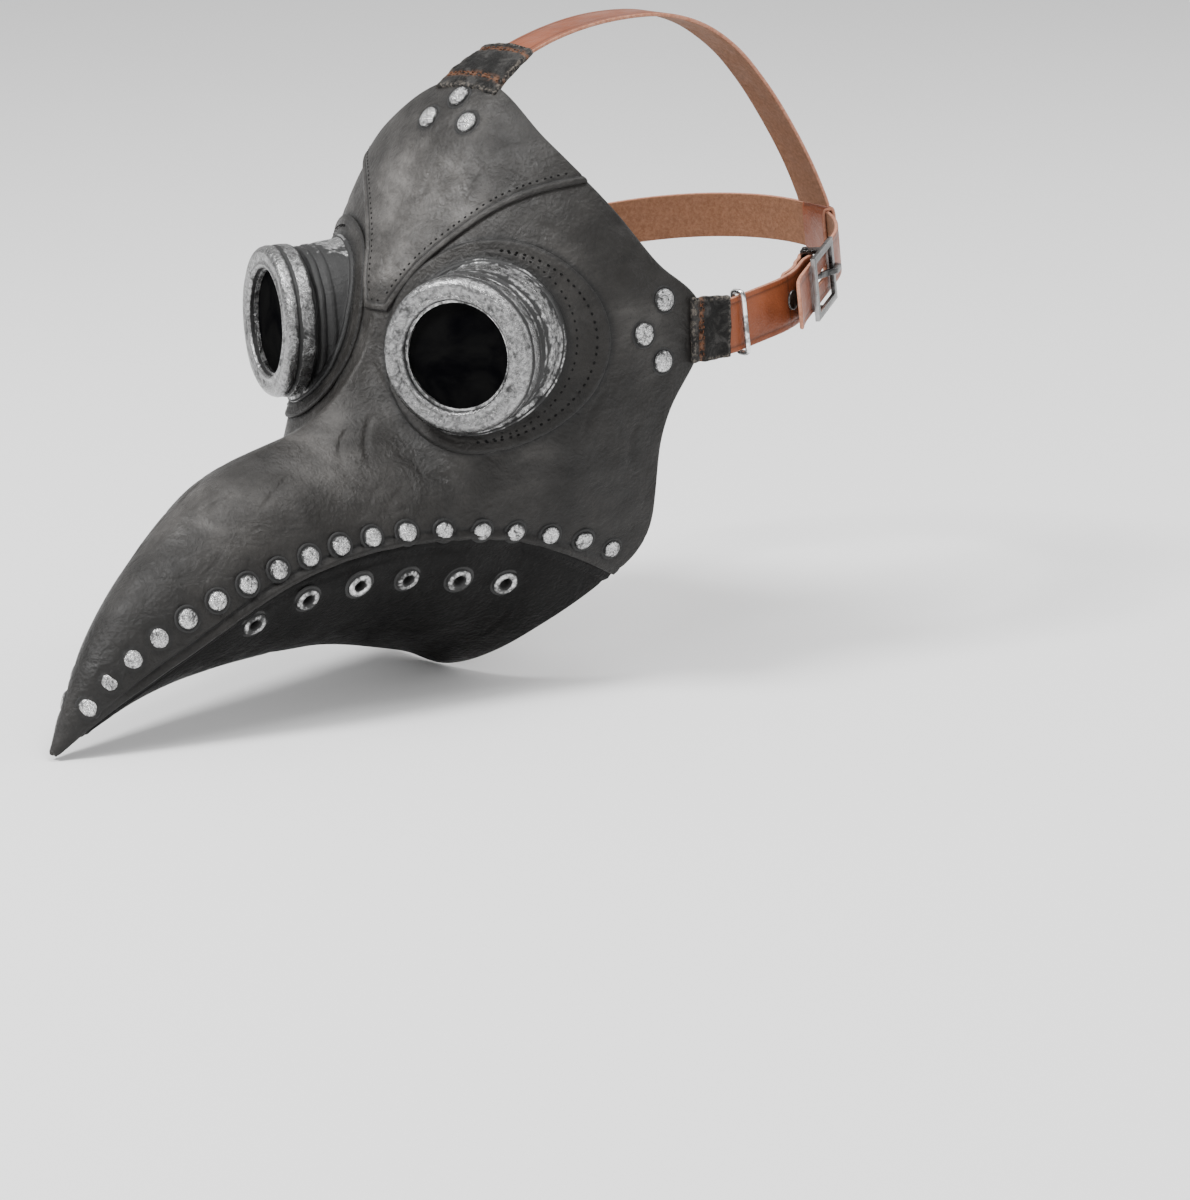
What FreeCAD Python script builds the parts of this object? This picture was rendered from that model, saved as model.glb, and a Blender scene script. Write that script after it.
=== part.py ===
"""Plague doctor mask: a stiff hollow face shell with a long hooked beak, round metal goggles,
studded seams and a leather harness that buckles at both sides of the head.

Frame: millimetres, +Z up, the beak points to -Y and +X is the wearer's left.
The origin is the centre of the wearer's head, level with the middle of the goggles.
"""
import FreeCAD, Part
import math
import os
import re

import Sketcher

V = FreeCAD.Vector
X_AXIS, Z_AXIS = V(1, 0, 0), V(0, 0, 1)

doc = FreeCAD.newDocument("PlagueDoctorMask")
sheet = doc.addObject("Spreadsheet::Sheet", "Sizes")

# ---------------------------------------------------------------- driving dimensions

DIMENSIONS = {
    # shell
    "shell_wall": 2.6,
    "jaw_inset": 0.9,
    "mouth_gap": 0.3,
    "layer_gap": 0.25,
    "layer_top": 1.5,
    "tab_top": 2.5,
    # goggles, measured along and around their own axis
    "goggle_x": 51.0,
    "goggle_y": -123.0,
    "goggle_z": 1.0,
    "goggle_turn": 23.5,
    "bezel_radius": 28.5,
    "bezel_mouth_radius": 20.2,
    "bezel_depth": 9.6,
    "lip_thickness": 2.4,
    "neck_radius": 25.5,
    "thread_clearance": 0.15,
    "retainer_radius": 19.2,
    "retainer_thickness": 1.5,
    "lens_radius": 24.9,
    "lens_thickness": 1.7,
    "stack_gap": 0.2,
    "drum_start": 14.5,
    "drum_radius": 27.0,
    "drum_base_radius": 29.5,
    "drum_depth": 48.0,
    "tube_wall": 2.0,
    "tube_tail": 4.0,
    "eye_hole_radius": 22.5,
    "clamp_ring_radius": 28.0,
    "clamp_ring_thickness": 1.8,
    "patch_width": 79.0,
    "patch_height": 73.0,
    "patch_shift": 3.0,
    # studs, eyelets and rivets
    "beak_stud_radius": 3.5,
    "temple_stud_radius": 4.2,
    "brow_stud_radius": 4.0,
    "stud_rise": 1.7,
    "stud_shank_radius": 1.1,
    "stud_shank_length": 3.4,
    "eyelet_radius": 4.6,
    "eyelet_bore_radius": 1.75,
    "eyelet_tube_radius": 2.5,
    "eyelet_flange": 1.2,
    "eyelet_length": 3.6,
    "rivet_radius": 3.9,
    "rivet_rise": 1.5,
    # harness: leather straps lie in one plane that climbs to the back of the head
    "harness_y": -15.0,
    "harness_z": 1.5,
    "harness_tilt": 8.5,
    "leather": 1.5,
    "billet_width": 20.0,
    "strap_width": 17.5,
    "strap_p": 83.2,
    "strap_start": 3.2,
    "strap_straight": 23.1,
    "strap_bend": 47.0,
    "strap_turn": 27.8,
    "fold_run": 15.0,
    "back_run": 28.0,
    # buckle, measured from its pin: along the strap, out from the head and across the strap
    "pin_radius": 1.2,
    "pin_length": 25.6,
    "eye_radius": 2.9,
    "frame_front": 14.5,
    "frame_back": 16.5,
    "frame_height": 24.4,
    "frame_bar": 3.2,
    "frame_rail": 2.6,
    "frame_level": 5.4,
    "frame_plate": 1.6,
    "lug_length": 4.4,
    "lug_thickness": 1.5,
    "strap_level": 3.1,
    "tongue_width": 2.2,
    "slot_width": 3.6,
    "billet_slot_length": 11.0,
    "billet_slot_depth": 12.0,
    "strap_slot_start": 4.0,
    "strap_slot_length": 17.0,
    "strap_slot_depth": 8.0,
    "tail_hinge": 15.9,
    "tail_gap": 0.15,
    "tail_straight": 6.0,
    "tail_bend": 60.0,
    "tail_curl": 18.0,
    "keeper_place": 8.0,
    "keeper_wire": 2.0,
    "keeper_inside_width": 21.6,
    "keeper_inside_depth": 3.2,
    # crown strap, in an upright plane that swings to the wearer's left at the back
    "crown_skew": 10.8,
    "crown_y": -46.0,
    "crown_z": 97.0,
    "crown_width": 18.0,
    "loop_place": 27.0,
    "loop_clearance": 0.75,
}
for row, (alias, number) in enumerate(DIMENSIONS.items(), start=1):
    sheet.set(f"A{row}", alias.replace("_", " "))
    sheet.set(f"B{row}", str(number))
    sheet.setAlias(f"B{row}", alias)
doc.recompute()


def size(alias):
    """The value of one cell of the sheet."""
    return float(getattr(sheet, alias))


def bound(text):
    """An expression on the sheet's aliases, as another object of the document writes it."""
    return re.sub(r"[a-z][a-z_]+", r"Sizes.\g<0>", text)


def value(text):
    """The number that an expression on the sheet's aliases gives."""
    return float(sheet.evalExpression(text))


# ---------------------------------------------------------------- helpers for bodies and sketches

def body_plane(body, role):
    return next(plane for plane in body.Origin.OriginFeatures if plane.Role == role)


def new_sketch(body, name, role):
    sketch = body.newObject("Sketcher::SketchObject", name)
    sketch.AttachmentSupport = (body_plane(body, role), [""])
    sketch.MapMode = "FlatFace"
    return sketch


def bind_corner(sketch, edge, across, up):
    """Hold the start point of an edge at two expressions."""
    for kind, axis, text in (("DistanceX", -2, across), ("DistanceY", -1, up)):
        if value(text) == 0:
            sketch.addConstraint(Sketcher.Constraint("PointOnObject", edge, 1, axis))
            continue
        index = sketch.addConstraint(Sketcher.Constraint(kind, edge, 1, value(text)))
        sketch.setExpression(f"Constraints[{index}]", bound(text))


def draw_outline(sketch, corners):
    """A closed outline of straight edges; each corner is a pair of expressions on the sheet."""
    places = [V(value(across), value(up), 0) for across, up in corners]
    count = len(corners)
    for i in range(count):
        sketch.addGeometry(Part.LineSegment(places[i], places[(i + 1) % count]), False)
    for i in range(count):
        sketch.addConstraint(Sketcher.Constraint("Coincident", i, 2, (i + 1) % count, 1))
        bind_corner(sketch, i, *corners[i])


def revolved(name, corners):
    """A body turned about its own Z axis from an outline of (radius, height) corners."""
    body = doc.addObject("PartDesign::Body", name)
    sketch = new_sketch(body, name + "_profile", "XZ_Plane")
    draw_outline(sketch, corners)
    turn = body.newObject("PartDesign::Revolution", name + "_turn")
    turn.Profile = sketch
    turn.ReferenceAxis = (sketch, ["V_Axis"])
    turn.Angle = 360
    return body


def padded(name, role, draw, thickness):
    """A body padded to both sides of one of its planes; draw(sketch) makes the outline."""
    body = doc.addObject("PartDesign::Body", name)
    sketch = new_sketch(body, name + "_outline", role)
    draw(sketch)
    pad = body.newObject("PartDesign::Pad", name + "_pad")
    pad.Profile = sketch
    pad.Midplane = True
    pad.setExpression("Length", bound(thickness))
    return body


def joined(kind, name, base, tool):
    """A boolean of two objects: Part::Cut, Part::Common or Part::Fuse."""
    result = doc.addObject(kind, name)
    result.Base = base
    result.Tool = tool
    return result


def mirrored(name, source):
    """The wearer's right-hand twin of a left-hand piece."""
    twin = doc.addObject("Part::Mirroring", name)
    twin.Source = source
    twin.Base = V(0, 0, 0)
    twin.Normal = X_AXIS
    twin.Label = name
    return twin


NODES = []


def keep(thing, label):
    thing.Label = label
    NODES.append(thing)


def keep_pair(left, name):
    """Keep a left-hand piece and its mirrored right-hand twin."""
    keep(left, "left_" + name)
    keep(mirrored("right_" + name, left), "right_" + name)


# ---------------------------------------------------------------- shell form

class Station:
    """A cross-section of the shell in the plane through a ridge point and a keel point.

    ridge and keel are (y, z) on the middle plane. half_width is reached at the height share
    `waist` from keel to ridge. Above and below it the outline is half_width * (1 - t^a)^b,
    and above it a share `cap` of a plain ellipse is mixed in, which rounds a pinched ridge.
    """

    def __init__(self, ridge, keel, half_width, waist, above, below, cap=0.0):
        self.ridge = ridge
        self.keel = keel
        self.half_width = half_width
        self.waist = waist
        self.above = above
        self.below = below
        self.cap = cap

    def half_outline(self, grow, steps):
        """Points on the +X side from ridge to keel, with the section grown by a thickness."""
        dy = self.ridge[0] - self.keel[0]
        dz = self.ridge[1] - self.keel[1]
        height = math.hypot(dy, dz)
        stretch = 1 + 2 * grow / height
        middle_y = (self.ridge[0] + self.keel[0]) / 2
        middle_z = (self.ridge[1] + self.keel[1]) / 2
        points = []
        for i in range(steps + 1):
            turn = math.pi * i / steps
            across = math.cos(turn)
            if across >= 0:
                share = self.waist + (1 - self.waist) * across
                a, b = self.above
                cap = self.cap
            else:
                share = self.waist + self.waist * across
                a, b = self.below
                cap = 0.0
            fullness = max(0.0, 1 - abs(across) ** a) ** b
            x = (self.half_width + grow) * (fullness * (1 - cap) + math.sin(turn) * cap)
            reach = (share - 0.5) * stretch
            points.append(V(x, middle_y + dy * reach, middle_z + dz * reach))
        return points


ROUND = (2.2, 0.50)
STATIONS = [
    Station((8, 112), (8, -142), 82, 0.56, ROUND, ROUND),
    Station((-22, 108), (-24, -140), 80, 0.56, ROUND, ROUND),
    Station((-50, 97), (-54, -137), 76, 0.55, ROUND, (2.2, 0.52)),
    Station((-70, 83), (-84, -129), 70, 0.52, ROUND, (2.0, 0.55)),
    Station((-85, 62), (-97, -123), 63, 0.48, (2.2, 0.52), (1.9, 0.60)),
    Station((-98, 40), (-109, -119), 57, 0.44, (2.2, 0.55), (1.8, 0.62)),
    Station((-110, 21), (-120, -116), 52, 0.42, (2.0, 0.95), (1.7, 0.65), 0.12),
    Station((-117, 2), (-130, -113.5), 48, 0.45, (1.9, 1.80), (1.7, 0.68), 0.14),
    Station((-128, -14), (-143, -111), 44, 0.47, (1.9, 1.70), (1.6, 0.70), 0.16),
    Station((-148, -27), (-160, -109.5), 39.5, 0.48, (1.9, 1.05), (1.6, 0.70), 0.22),
    Station((-176, -34.5), (-180, -109), 34, 0.48, (2.0, 0.62), (1.6, 0.70)),
    Station((-201, -46), (-202, -110), 28, 0.48, (2.0, 0.57), (1.6, 0.70)),
    Station((-225, -64), (-222, -112.5), 21, 0.46, (2.0, 0.55), (1.6, 0.70)),
    Station((-246, -84), (-240, -117), 14, 0.45, (2.0, 0.55), (1.6, 0.70)),
    Station((-261, -107), (-256, -123), 7.5, 0.45, (2.0, 0.55), (1.6, 0.70)),
    Station((-269.5, -124), (-268, -128.5), 2, 0.50, (2.0, 0.50), (2.0, 0.50)),
]
HALF_STEPS = 16
SOLID_TIP_STATIONS = 2
# The inner forms start further back than the outer ones and stop short of the solid tip.
OPEN_BACK = Station((32, 111), (32, -141), 82, 0.56, ROUND, ROUND)
INNER_STATIONS = [OPEN_BACK] + STATIONS[:-SOLID_TIP_STATIONS]
HOLLOW_FRONT = -222
HOLLOW_BLOCK = (300, 300, 400)


def section_wire(station, grow):
    """The closed outline of a station: one curve per side, from ridge to keel and back."""
    right = station.half_outline(grow, HALF_STEPS)
    left = [V(-p.x, p.y, p.z) for p in reversed(right)]
    edges = []
    for points in (right, left):
        curve = Part.BSplineCurve()
        knots = [i / HALF_STEPS for i in range(HALF_STEPS + 1)]
        curve.interpolate(Points=points, Parameters=knots)
        edges.append(curve.toShape())
    return Part.Wire(edges)


def skin(name, grow, stations):
    """The solid inside the shell's form, grown outward (or, if negative, inward)."""
    sections = []
    for i, station in enumerate(stations):
        section = doc.addObject("Part::Feature", f"{name}_section_{i}")
        section.Shape = section_wire(station, grow)
        sections.append(section)
    loft = doc.addObject("Part::Loft", name)
    loft.Sections = sections
    loft.Solid = True
    loft.Ruled = False
    return loft


WALL = size("shell_wall")
outer_form = skin("outer_form", 0, STATIONS)
jaw_form = skin("jaw_form", -size("jaw_inset"), STATIONS[:-1])
inner_loft = skin("inner_loft", -WALL, INNER_STATIONS)
layer_bed = skin("layer_bed", size("layer_gap"), [OPEN_BACK] + STATIONS)
layer_top = skin("layer_top", size("layer_top"), STATIONS)
tab_top = skin("tab_top", size("tab_top"), STATIONS[:6])
ring_bed = skin("ring_bed", -WALL - size("layer_gap"), STATIONS[:-SOLID_TIP_STATIONS])
ring_top_grow = -WALL - size("clamp_ring_thickness")
ring_top = skin("ring_top", ring_top_grow, INNER_STATIONS)
tube_end = skin("tube_end", -WALL - size("tube_tail"), INNER_STATIONS)
hollow_limit = doc.addObject("Part::Box", "hollow_limit")
hollow_limit.Length, hollow_limit.Width, hollow_limit.Height = HOLLOW_BLOCK
hollow_corner = V(-HOLLOW_BLOCK[0] / 2, HOLLOW_FRONT, -HOLLOW_BLOCK[2] / 2)
hollow_limit.Placement = FreeCAD.Placement(hollow_corner, FreeCAD.Rotation())
inner_form = joined("Part::Common", "inner_form", inner_loft, hollow_limit)
doc.recompute()


# ---------------------------------------------------------------- side-view cutters

# The rim that lies against the head, from the brow down past the temple to the chin (y, z).
RIM = [(-62, 92), (-66.5, 74), (-61, 57), (-52, 42), (-40, 25), (-28, 15), (-23, 3), (-28, -10),
       (-37, -23), (-42, -38), (-41.5, -57), (-43, -79), (-51, -89), (-63, -100), (-74, -111),
       (-86, -129)]
# The mouth line between the upper shell and the lower beak, from the cheek to the tip (y, z).
MOUTH = [(-25, -103), (-55, -87), (-80, -75), (-102, -68), (-133, -65.5), (-163, -68),
         (-193, -77), (-222, -94), (-246, -109), (-269, -126), (-300, -152)]
FAR_FRONT, FAR_TOP, FAR_BOTTOM, FAR_SIDE = -300, 140, -190, 120


def spline_edge(points):
    curve = Part.BSplineCurve()
    curve.interpolate([V(0, y, z) for y, z in points])
    return curve


def side_slab(name, edges):
    """A side-view outline extruded right across the mask."""
    outline = doc.addObject("Part::Feature", name + "_outline")
    outline.Shape = Part.Wire(edges)
    slab = doc.addObject("Part::Extrusion", name)
    slab.Base = outline
    slab.Dir = X_AXIS
    slab.LengthFwd = FAR_SIDE
    slab.LengthRev = FAR_SIDE
    slab.Solid = True
    return slab


def chain(points):
    """Straight edges through (y, z) points."""
    places = [V(0, y, z) for y, z in points]
    return [Part.LineSegment(a, b).toShape() for a, b in zip(places, places[1:])]


def face_region(name, mouth_shift, upper):
    """The side-view region ahead of the rim, above or below the mouth line."""
    rim = spline_edge(RIM)
    mouth = spline_edge([(y, z + mouth_shift) for y, z in MOUTH])
    crossing = rim.intersectCC(mouth)[0]
    meeting = V(crossing.X, crossing.Y, crossing.Z)
    on_rim = rim.parameter(meeting)
    on_mouth = mouth.parameter(meeting)
    mouth_edge = mouth.toShape(on_mouth, mouth.LastParameter)
    front_z = MOUTH[-1][1] + mouth_shift
    if upper:
        rim_edge = rim.toShape(rim.FirstParameter, on_rim)
        around = chain([(FAR_FRONT, front_z), (FAR_FRONT, FAR_TOP), (RIM[0][0], FAR_TOP), RIM[0]])
    else:
        rim_edge = rim.toShape(on_rim, rim.LastParameter)
        around = chain([(FAR_FRONT, front_z), (FAR_FRONT, FAR_BOTTOM),
                        (RIM[-1][0], FAR_BOTTOM), RIM[-1]])
    return side_slab(name, Part.__sortEdges__([rim_edge, mouth_edge] + around))


upper_region = face_region("upper_region", 0, True)
lower_region = face_region("lower_region", -size("mouth_gap"), False)

# ---------------------------------------------------------------- goggle axis

goggle_turn = math.radians(size("goggle_turn"))
goggle_axis = V(math.sin(goggle_turn), -math.cos(goggle_turn), 0)
goggle_side = V(math.cos(goggle_turn), math.sin(goggle_turn), 0)
goggle_centre = V(size("goggle_x"), size("goggle_y"), size("goggle_z"))


def goggle_placement():
    """Local X to the temple, local Y up and local Z out of the goggle's mouth."""
    turn = FreeCAD.Rotation(goggle_side, Z_AXIS, goggle_axis, "ZXY")
    return FreeCAD.Placement(goggle_centre, turn)


def goggle_cylinder(name, radius, height="drum_depth * 2"):
    """A cutting cylinder along the goggle's axis."""
    tool = doc.addObject("Part::Cylinder", name)
    tool.setExpression("Radius", bound(radius))
    tool.setExpression("Height", bound(height))
    middle = goggle_centre - goggle_axis * (value(height) * 0.75)
    tool.Placement = FreeCAD.Placement(middle, goggle_placement().Rotation)
    return tool


# ---------------------------------------------------------------- upper shell and lower beak

def make_upper_shell():
    hollow = joined("Part::Cut", "upper_hollow", outer_form, inner_form)
    shell = joined("Part::Common", "upper_blank", hollow, upper_region)
    left_hole = goggle_cylinder("left_eye_hole", "eye_hole_radius")
    right_hole = mirrored("right_eye_hole", left_hole)
    one_eye = joined("Part::Cut", "one_eyed_shell", shell, left_hole)
    return joined("Part::Cut", "upper_shell", one_eye, right_hole)


def seat(point):
    """The nearest place on the outer form and the outward direction there."""
    form = outer_form.Shape
    _, pairs, facts = form.distToShape(Part.Vertex(point))
    place = pairs[0][0]
    kind, index, where = facts[0][0], facts[0][1], facts[0][2]
    if kind == "Face":
        outward = form.Faces[index].normalAt(*where)
    else:
        outward = point - place
    if outward.dot(place - V(0, -60, -40)) < 0:
        outward = outward * -1
    outward.normalize()
    return place, outward


def planted(master, places, sink=0.0):
    """Copies of a fastener standing on the shell at each place, as one group of solids."""
    solids = []
    for point in places:
        place, outward = seat(point)
        copy = master.Shape.copy()
        turn = FreeCAD.Rotation(Z_AXIS, outward)
        copy.Placement = FreeCAD.Placement(place - outward * sink, turn)
        solids.append(copy)
    return Part.makeCompound(solids)


def spaced_row(outline, count, crowding):
    """Points spread along a side-view curve; crowding above 0 sets them closer at its start."""
    curve = spline_edge(outline)
    total = curve.length()
    points = []
    for i in range(count):
        share = i / (count - 1)
        share = share * (1 - crowding) + share * share * crowding
        points.append(curve.value(curve.parameterAtDistance(total * share)))
    return points


def pushed_to_side(point):
    """Slide a side-view point out to the left face of the shell."""
    ray = Part.LineSegment(V(0.5, point.y, point.z), V(FAR_SIDE, point.y, point.z)).toShape()
    hits = outer_form.Shape.common(ray).Vertexes
    return V(max(hit.X for hit in hits), point.y, point.z)


STUD_ROW = [(-258, -110), (-243, -95), (-212, -77), (-176, -65.5), (-139, -62), (-111, -64),
            (-83, -69), (-56, -78)]
STUD_COUNT = 18
STUD_CROWDING = 0.16
EYELET_ROW = [(-197, -88), (-168, -80), (-137, -80), (-94, -87.5)]
EYELET_COUNT = 6

stud_places = [pushed_to_side(p) for p in spaced_row(STUD_ROW, STUD_COUNT, STUD_CROWDING)]
eyelet_places = [pushed_to_side(p) for p in spaced_row(EYELET_ROW, EYELET_COUNT, 0)]


def make_lower_beak():
    hollow = joined("Part::Cut", "lower_hollow", jaw_form, inner_form)
    blank = joined("Part::Common", "lower_blank", hollow, lower_region)
    tools = []
    for i, point in enumerate(eyelet_places):
        place, outward = seat(point)
        for side in (1, -1):
            tool = doc.addObject("Part::Cylinder", f"eyelet_hole_{i}_{'left' if side > 0 else 'right'}")
            tool.setExpression("Radius", bound("eyelet_tube_radius + layer_gap * 0.2"))
            tool.setExpression("Height", bound("eyelet_length * 4"))
            direction = V(outward.x * side, outward.y, outward.z)
            start = V(place.x * side, place.y, place.z) - direction * (value("eyelet_length") * 2)
            tool.Placement = FreeCAD.Placement(start, FreeCAD.Rotation(Z_AXIS, direction))
            tools.append(tool)
    holes = doc.addObject("Part::MultiFuse", "eyelet_holes")
    holes.Shapes = tools
    return joined("Part::Cut", "lower_beak", blank, holes)


keep(make_upper_shell(), "upper_shell")
keep(make_lower_beak(), "lower_beak")


# ---------------------------------------------------------------- sewn-on layers

def layer(name, outline, direction, start, length, top):
    """The skin between the layer bed and a top form, inside an outline thrown along a line."""
    shape = doc.addObject("Part::Feature", name + "_outline")
    shape.Shape = outline
    shape.Placement = start
    column = doc.addObject("Part::Extrusion", name + "_column")
    column.Base = shape
    column.Dir = direction
    column.LengthFwd = length
    column.Solid = True
    sheet_of_leather = joined("Part::Cut", name + "_sheet", top, layer_bed)
    return joined("Part::Common", name, sheet_of_leather, column)


def closed_line(points):
    return Part.Wire(Part.makePolygon(points + points[:1]).Edges)


# Half of the brow panel seen from the front, from its point above the beak out to the rim (x, z).
BROW_EDGE = [(5.4, 11), (9.5, 18.5), (16.3, 30), (24.6, 39), (35.5, 48.6), (46.4, 54.5), (60, 59)]
BROW_TOP = 110


def brow_outline(margin=0.0):
    """The brow panel's front-view outline, widened by a margin."""
    def side_curve(sign):
        curve = Part.BSplineCurve()
        curve.interpolate([V(sign * (x + margin), 0, z - margin) for x, z in BROW_EDGE])
        return curve.toShape()
    last_x, last_z = BROW_EDGE[-1][0] + margin, BROW_EDGE[-1][1] - margin
    first_x, first_z = BROW_EDGE[0][0] + margin, BROW_EDGE[0][1] - margin
    corners = [V(last_x, 0, last_z), V(last_x, 0, BROW_TOP), V(-last_x, 0, BROW_TOP),
               V(-last_x, 0, last_z)]
    edges = [side_curve(1), side_curve(-1)]
    edges += [Part.LineSegment(a, b).toShape() for a, b in zip(corners, corners[1:])]
    edges.append(Part.LineSegment(V(first_x, 0, first_z), V(-first_x, 0, first_z)).toShape())
    return Part.Wire(Part.__sortEdges__(edges))


def make_brow_panel():
    start = FreeCAD.Placement(V(0, -58, 0), FreeCAD.Rotation())
    blank = layer("brow_blank", brow_outline(), V(0, -1, 0), start, 100, layer_top)
    return joined("Part::Common", "brow_panel", blank, upper_region)


def make_eye_patch():
    """An oval ring of leather sewn round the goggle, trimmed clear of the brow panel."""
    ellipse = Part.Ellipse(V(0, 0, 0), size("patch_width") / 2, size("patch_height") / 2)
    shift = goggle_side * size("patch_shift")
    middle = goggle_centre + shift - goggle_axis * size("drum_depth")
    start = FreeCAD.Placement(middle, goggle_placement().Rotation)
    blank = layer("patch_blank", Part.Wire([ellipse.toShape()]), goggle_axis, start, 60, layer_top)
    ring = joined("Part::Cut", "patch_ring", blank, goggle_cylinder("patch_hole", "eye_hole_radius"))
    brow = doc.addObject("Part::Feature", "brow_clearance_outline")
    brow.Shape = brow_outline(size("layer_gap") * 2)
    brow.Placement = FreeCAD.Placement(V(0, -40, 0), FreeCAD.Rotation())
    clearance = doc.addObject("Part::Extrusion", "brow_clearance")
    clearance.Base = brow
    clearance.Dir = V(0, -1, 0)
    clearance.LengthFwd = 100
    clearance.Solid = True
    return joined("Part::Cut", "left_eye_patch", ring, clearance)


# Outlines of the black tabs that hold the straps: temple (y, z) and forehead (x, y).
TEMPLE_TAB = [(-29.5, 13.5), (-12.5, 12.5), (-12.5, -8.5), (-29.5, -9.5)]
FOREHEAD_TAB = [(-15, -66), (15, -66), (11.5, -45), (-11.5, -45)]


def make_temple_tab():
    outline = closed_line([V(0, y, z) for y, z in TEMPLE_TAB])
    start = FreeCAD.Placement(V(60, 0, 0), FreeCAD.Rotation())
    return layer("left_temple_tab", outline, X_AXIS, start, 40, tab_top)


def make_forehead_tab():
    outline = closed_line([V(x, y, 0) for x, y in FOREHEAD_TAB])
    start = FreeCAD.Placement(V(0, 0, 60), FreeCAD.Rotation())
    blank = layer("forehead_tab_blank", outline, Z_AXIS, start, 60, tab_top)
    return joined("Part::Cut", "forehead_tab", blank, brow_panel)


brow_panel = make_brow_panel()
keep(brow_panel, "brow_panel")
keep_pair(make_eye_patch(), "eye_patch")
keep_pair(make_temple_tab(), "temple_tab")
keep(make_forehead_tab(), "forehead_tab")


# ---------------------------------------------------------------- goggles

def make_bezel():
    """The screwed front ring: a flat annular face, a rim and a skirt over the barrel's neck."""
    bore = "neck_radius + thread_clearance"
    body = revolved("left_goggle_bezel", [
        ("bezel_mouth_radius", "-lip_thickness"),
        ("bezel_mouth_radius", "-0.9"),
        ("bezel_mouth_radius + 1.2", "0"),
        ("bezel_radius - 1.5", "0"),
        ("bezel_radius", "-1.5"),
        ("bezel_radius", "-bezel_depth + 3.6"),
        ("bezel_radius - 1.3", "-bezel_depth + 2.6"),
        ("bezel_radius - 1.3", "-bezel_depth"),
        (bore, "-bezel_depth"),
        (bore, "-lip_thickness"),
    ])
    body.Placement = goggle_placement()
    return body


def make_disc_or_ring(name, inner, outer, front, thickness):
    back = f"{front} - {thickness}"
    body = revolved(name, [(inner, back), (outer, back), (outer, front), (inner, front)])
    body.Placement = goggle_placement()
    return body


def make_barrel():
    """A flared drum on the patch, fused with the tube that passes through the eye hole."""
    neck_front = "-lip_thickness - retainer_thickness - lens_thickness - stack_gap * 3"
    drum = revolved("barrel_drum", [
        ("bezel_mouth_radius + tube_wall * 0.5", neck_front),
        ("neck_radius", neck_front),
        ("neck_radius", "-drum_start"),
        ("drum_radius", "-drum_start - 1"),
        ("drum_radius + 0.6", "-drum_start - 8"),
        ("drum_base_radius", "-drum_start - 16"),
        ("drum_base_radius", "-drum_depth"),
        ("bezel_mouth_radius + tube_wall * 0.5", "-drum_depth"),
    ])
    tube = revolved("barrel_tube", [
        ("bezel_mouth_radius", neck_front),
        ("bezel_mouth_radius + tube_wall", neck_front),
        ("bezel_mouth_radius + tube_wall", "-drum_depth - 6"),
        ("bezel_mouth_radius", "-drum_depth - 6"),
    ])
    drum.Placement = goggle_placement()
    tube.Placement = goggle_placement()
    outside = joined("Part::Cut", "drum_on_patch", drum, barrel_seat)
    inside = joined("Part::Cut", "tube_in_shell", tube, tube_end)
    return joined("Part::Fuse", "left_goggle_barrel", outside, inside)


def make_clamp_ring():
    """The ring inside the mask that holds the barrel's tube to the shell."""
    sheet_inside = joined("Part::Cut", "clamp_sheet", ring_bed, ring_top)
    outer = goggle_cylinder("clamp_outside", "clamp_ring_radius", "drum_depth")
    disc = joined("Part::Common", "clamp_disc", sheet_inside, outer)
    hole = goggle_cylinder("clamp_hole", "bezel_mouth_radius + tube_wall + thread_clearance")
    return joined("Part::Cut", "left_goggle_clamp_ring", disc, hole)


barrel_seat = skin("barrel_seat", size("layer_top") + size("layer_gap"), STATIONS)
keep_pair(make_bezel(), "goggle_bezel")
retainer_front = "-lip_thickness - stack_gap"
keep_pair(make_disc_or_ring("left_lens_retainer", "retainer_radius", "neck_radius - 0.1",
                            retainer_front, "retainer_thickness"), "lens_retainer")
lens_front = retainer_front + " - retainer_thickness - stack_gap"
keep_pair(make_disc_or_ring("left_lens", "0", "lens_radius", lens_front, "lens_thickness"), "lens")
keep_pair(make_barrel(), "goggle_barrel")
keep_pair(make_clamp_ring(), "goggle_clamp_ring")


# ---------------------------------------------------------------- studs and eyelets

def stud_master(name, radius):
    """A low domed head, standing on Z = 0, with its shank below."""
    return revolved(name, [
        ("0", "-stud_shank_length"),
        ("stud_shank_radius", "-stud_shank_length"),
        ("stud_shank_radius", "0"),
        (radius, "0"),
        (radius, "stud_rise * 0.4"),
        (radius + " * 0.72", "stud_rise * 0.85"),
        (radius + " * 0.3", "stud_rise"),
        ("0", "stud_rise"),
    ])


def eyelet_master():
    """A rolled flange on the outside and a tube through the wall."""
    return revolved("eyelet_master", [
        ("eyelet_bore_radius", "-eyelet_length"),
        ("eyelet_tube_radius", "-eyelet_length"),
        ("eyelet_tube_radius", "0"),
        ("eyelet_radius", "0"),
        ("eyelet_radius", "eyelet_flange * 0.5"),
        ("eyelet_radius - 1.2", "eyelet_flange"),
        ("eyelet_bore_radius + 0.6", "eyelet_flange"),
        ("eyelet_bore_radius", "eyelet_flange * 0.5"),
    ])


def group(name, shape):
    feature = doc.addObject("Part::Feature", name)
    feature.Shape = shape
    return feature


beak_stud = stud_master("beak_stud_master", "beak_stud_radius")
temple_stud = stud_master("temple_stud_master", "temple_stud_radius")
brow_stud = stud_master("brow_stud_master", "brow_stud_radius")
eyelet = eyelet_master()
doc.recompute()

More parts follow.
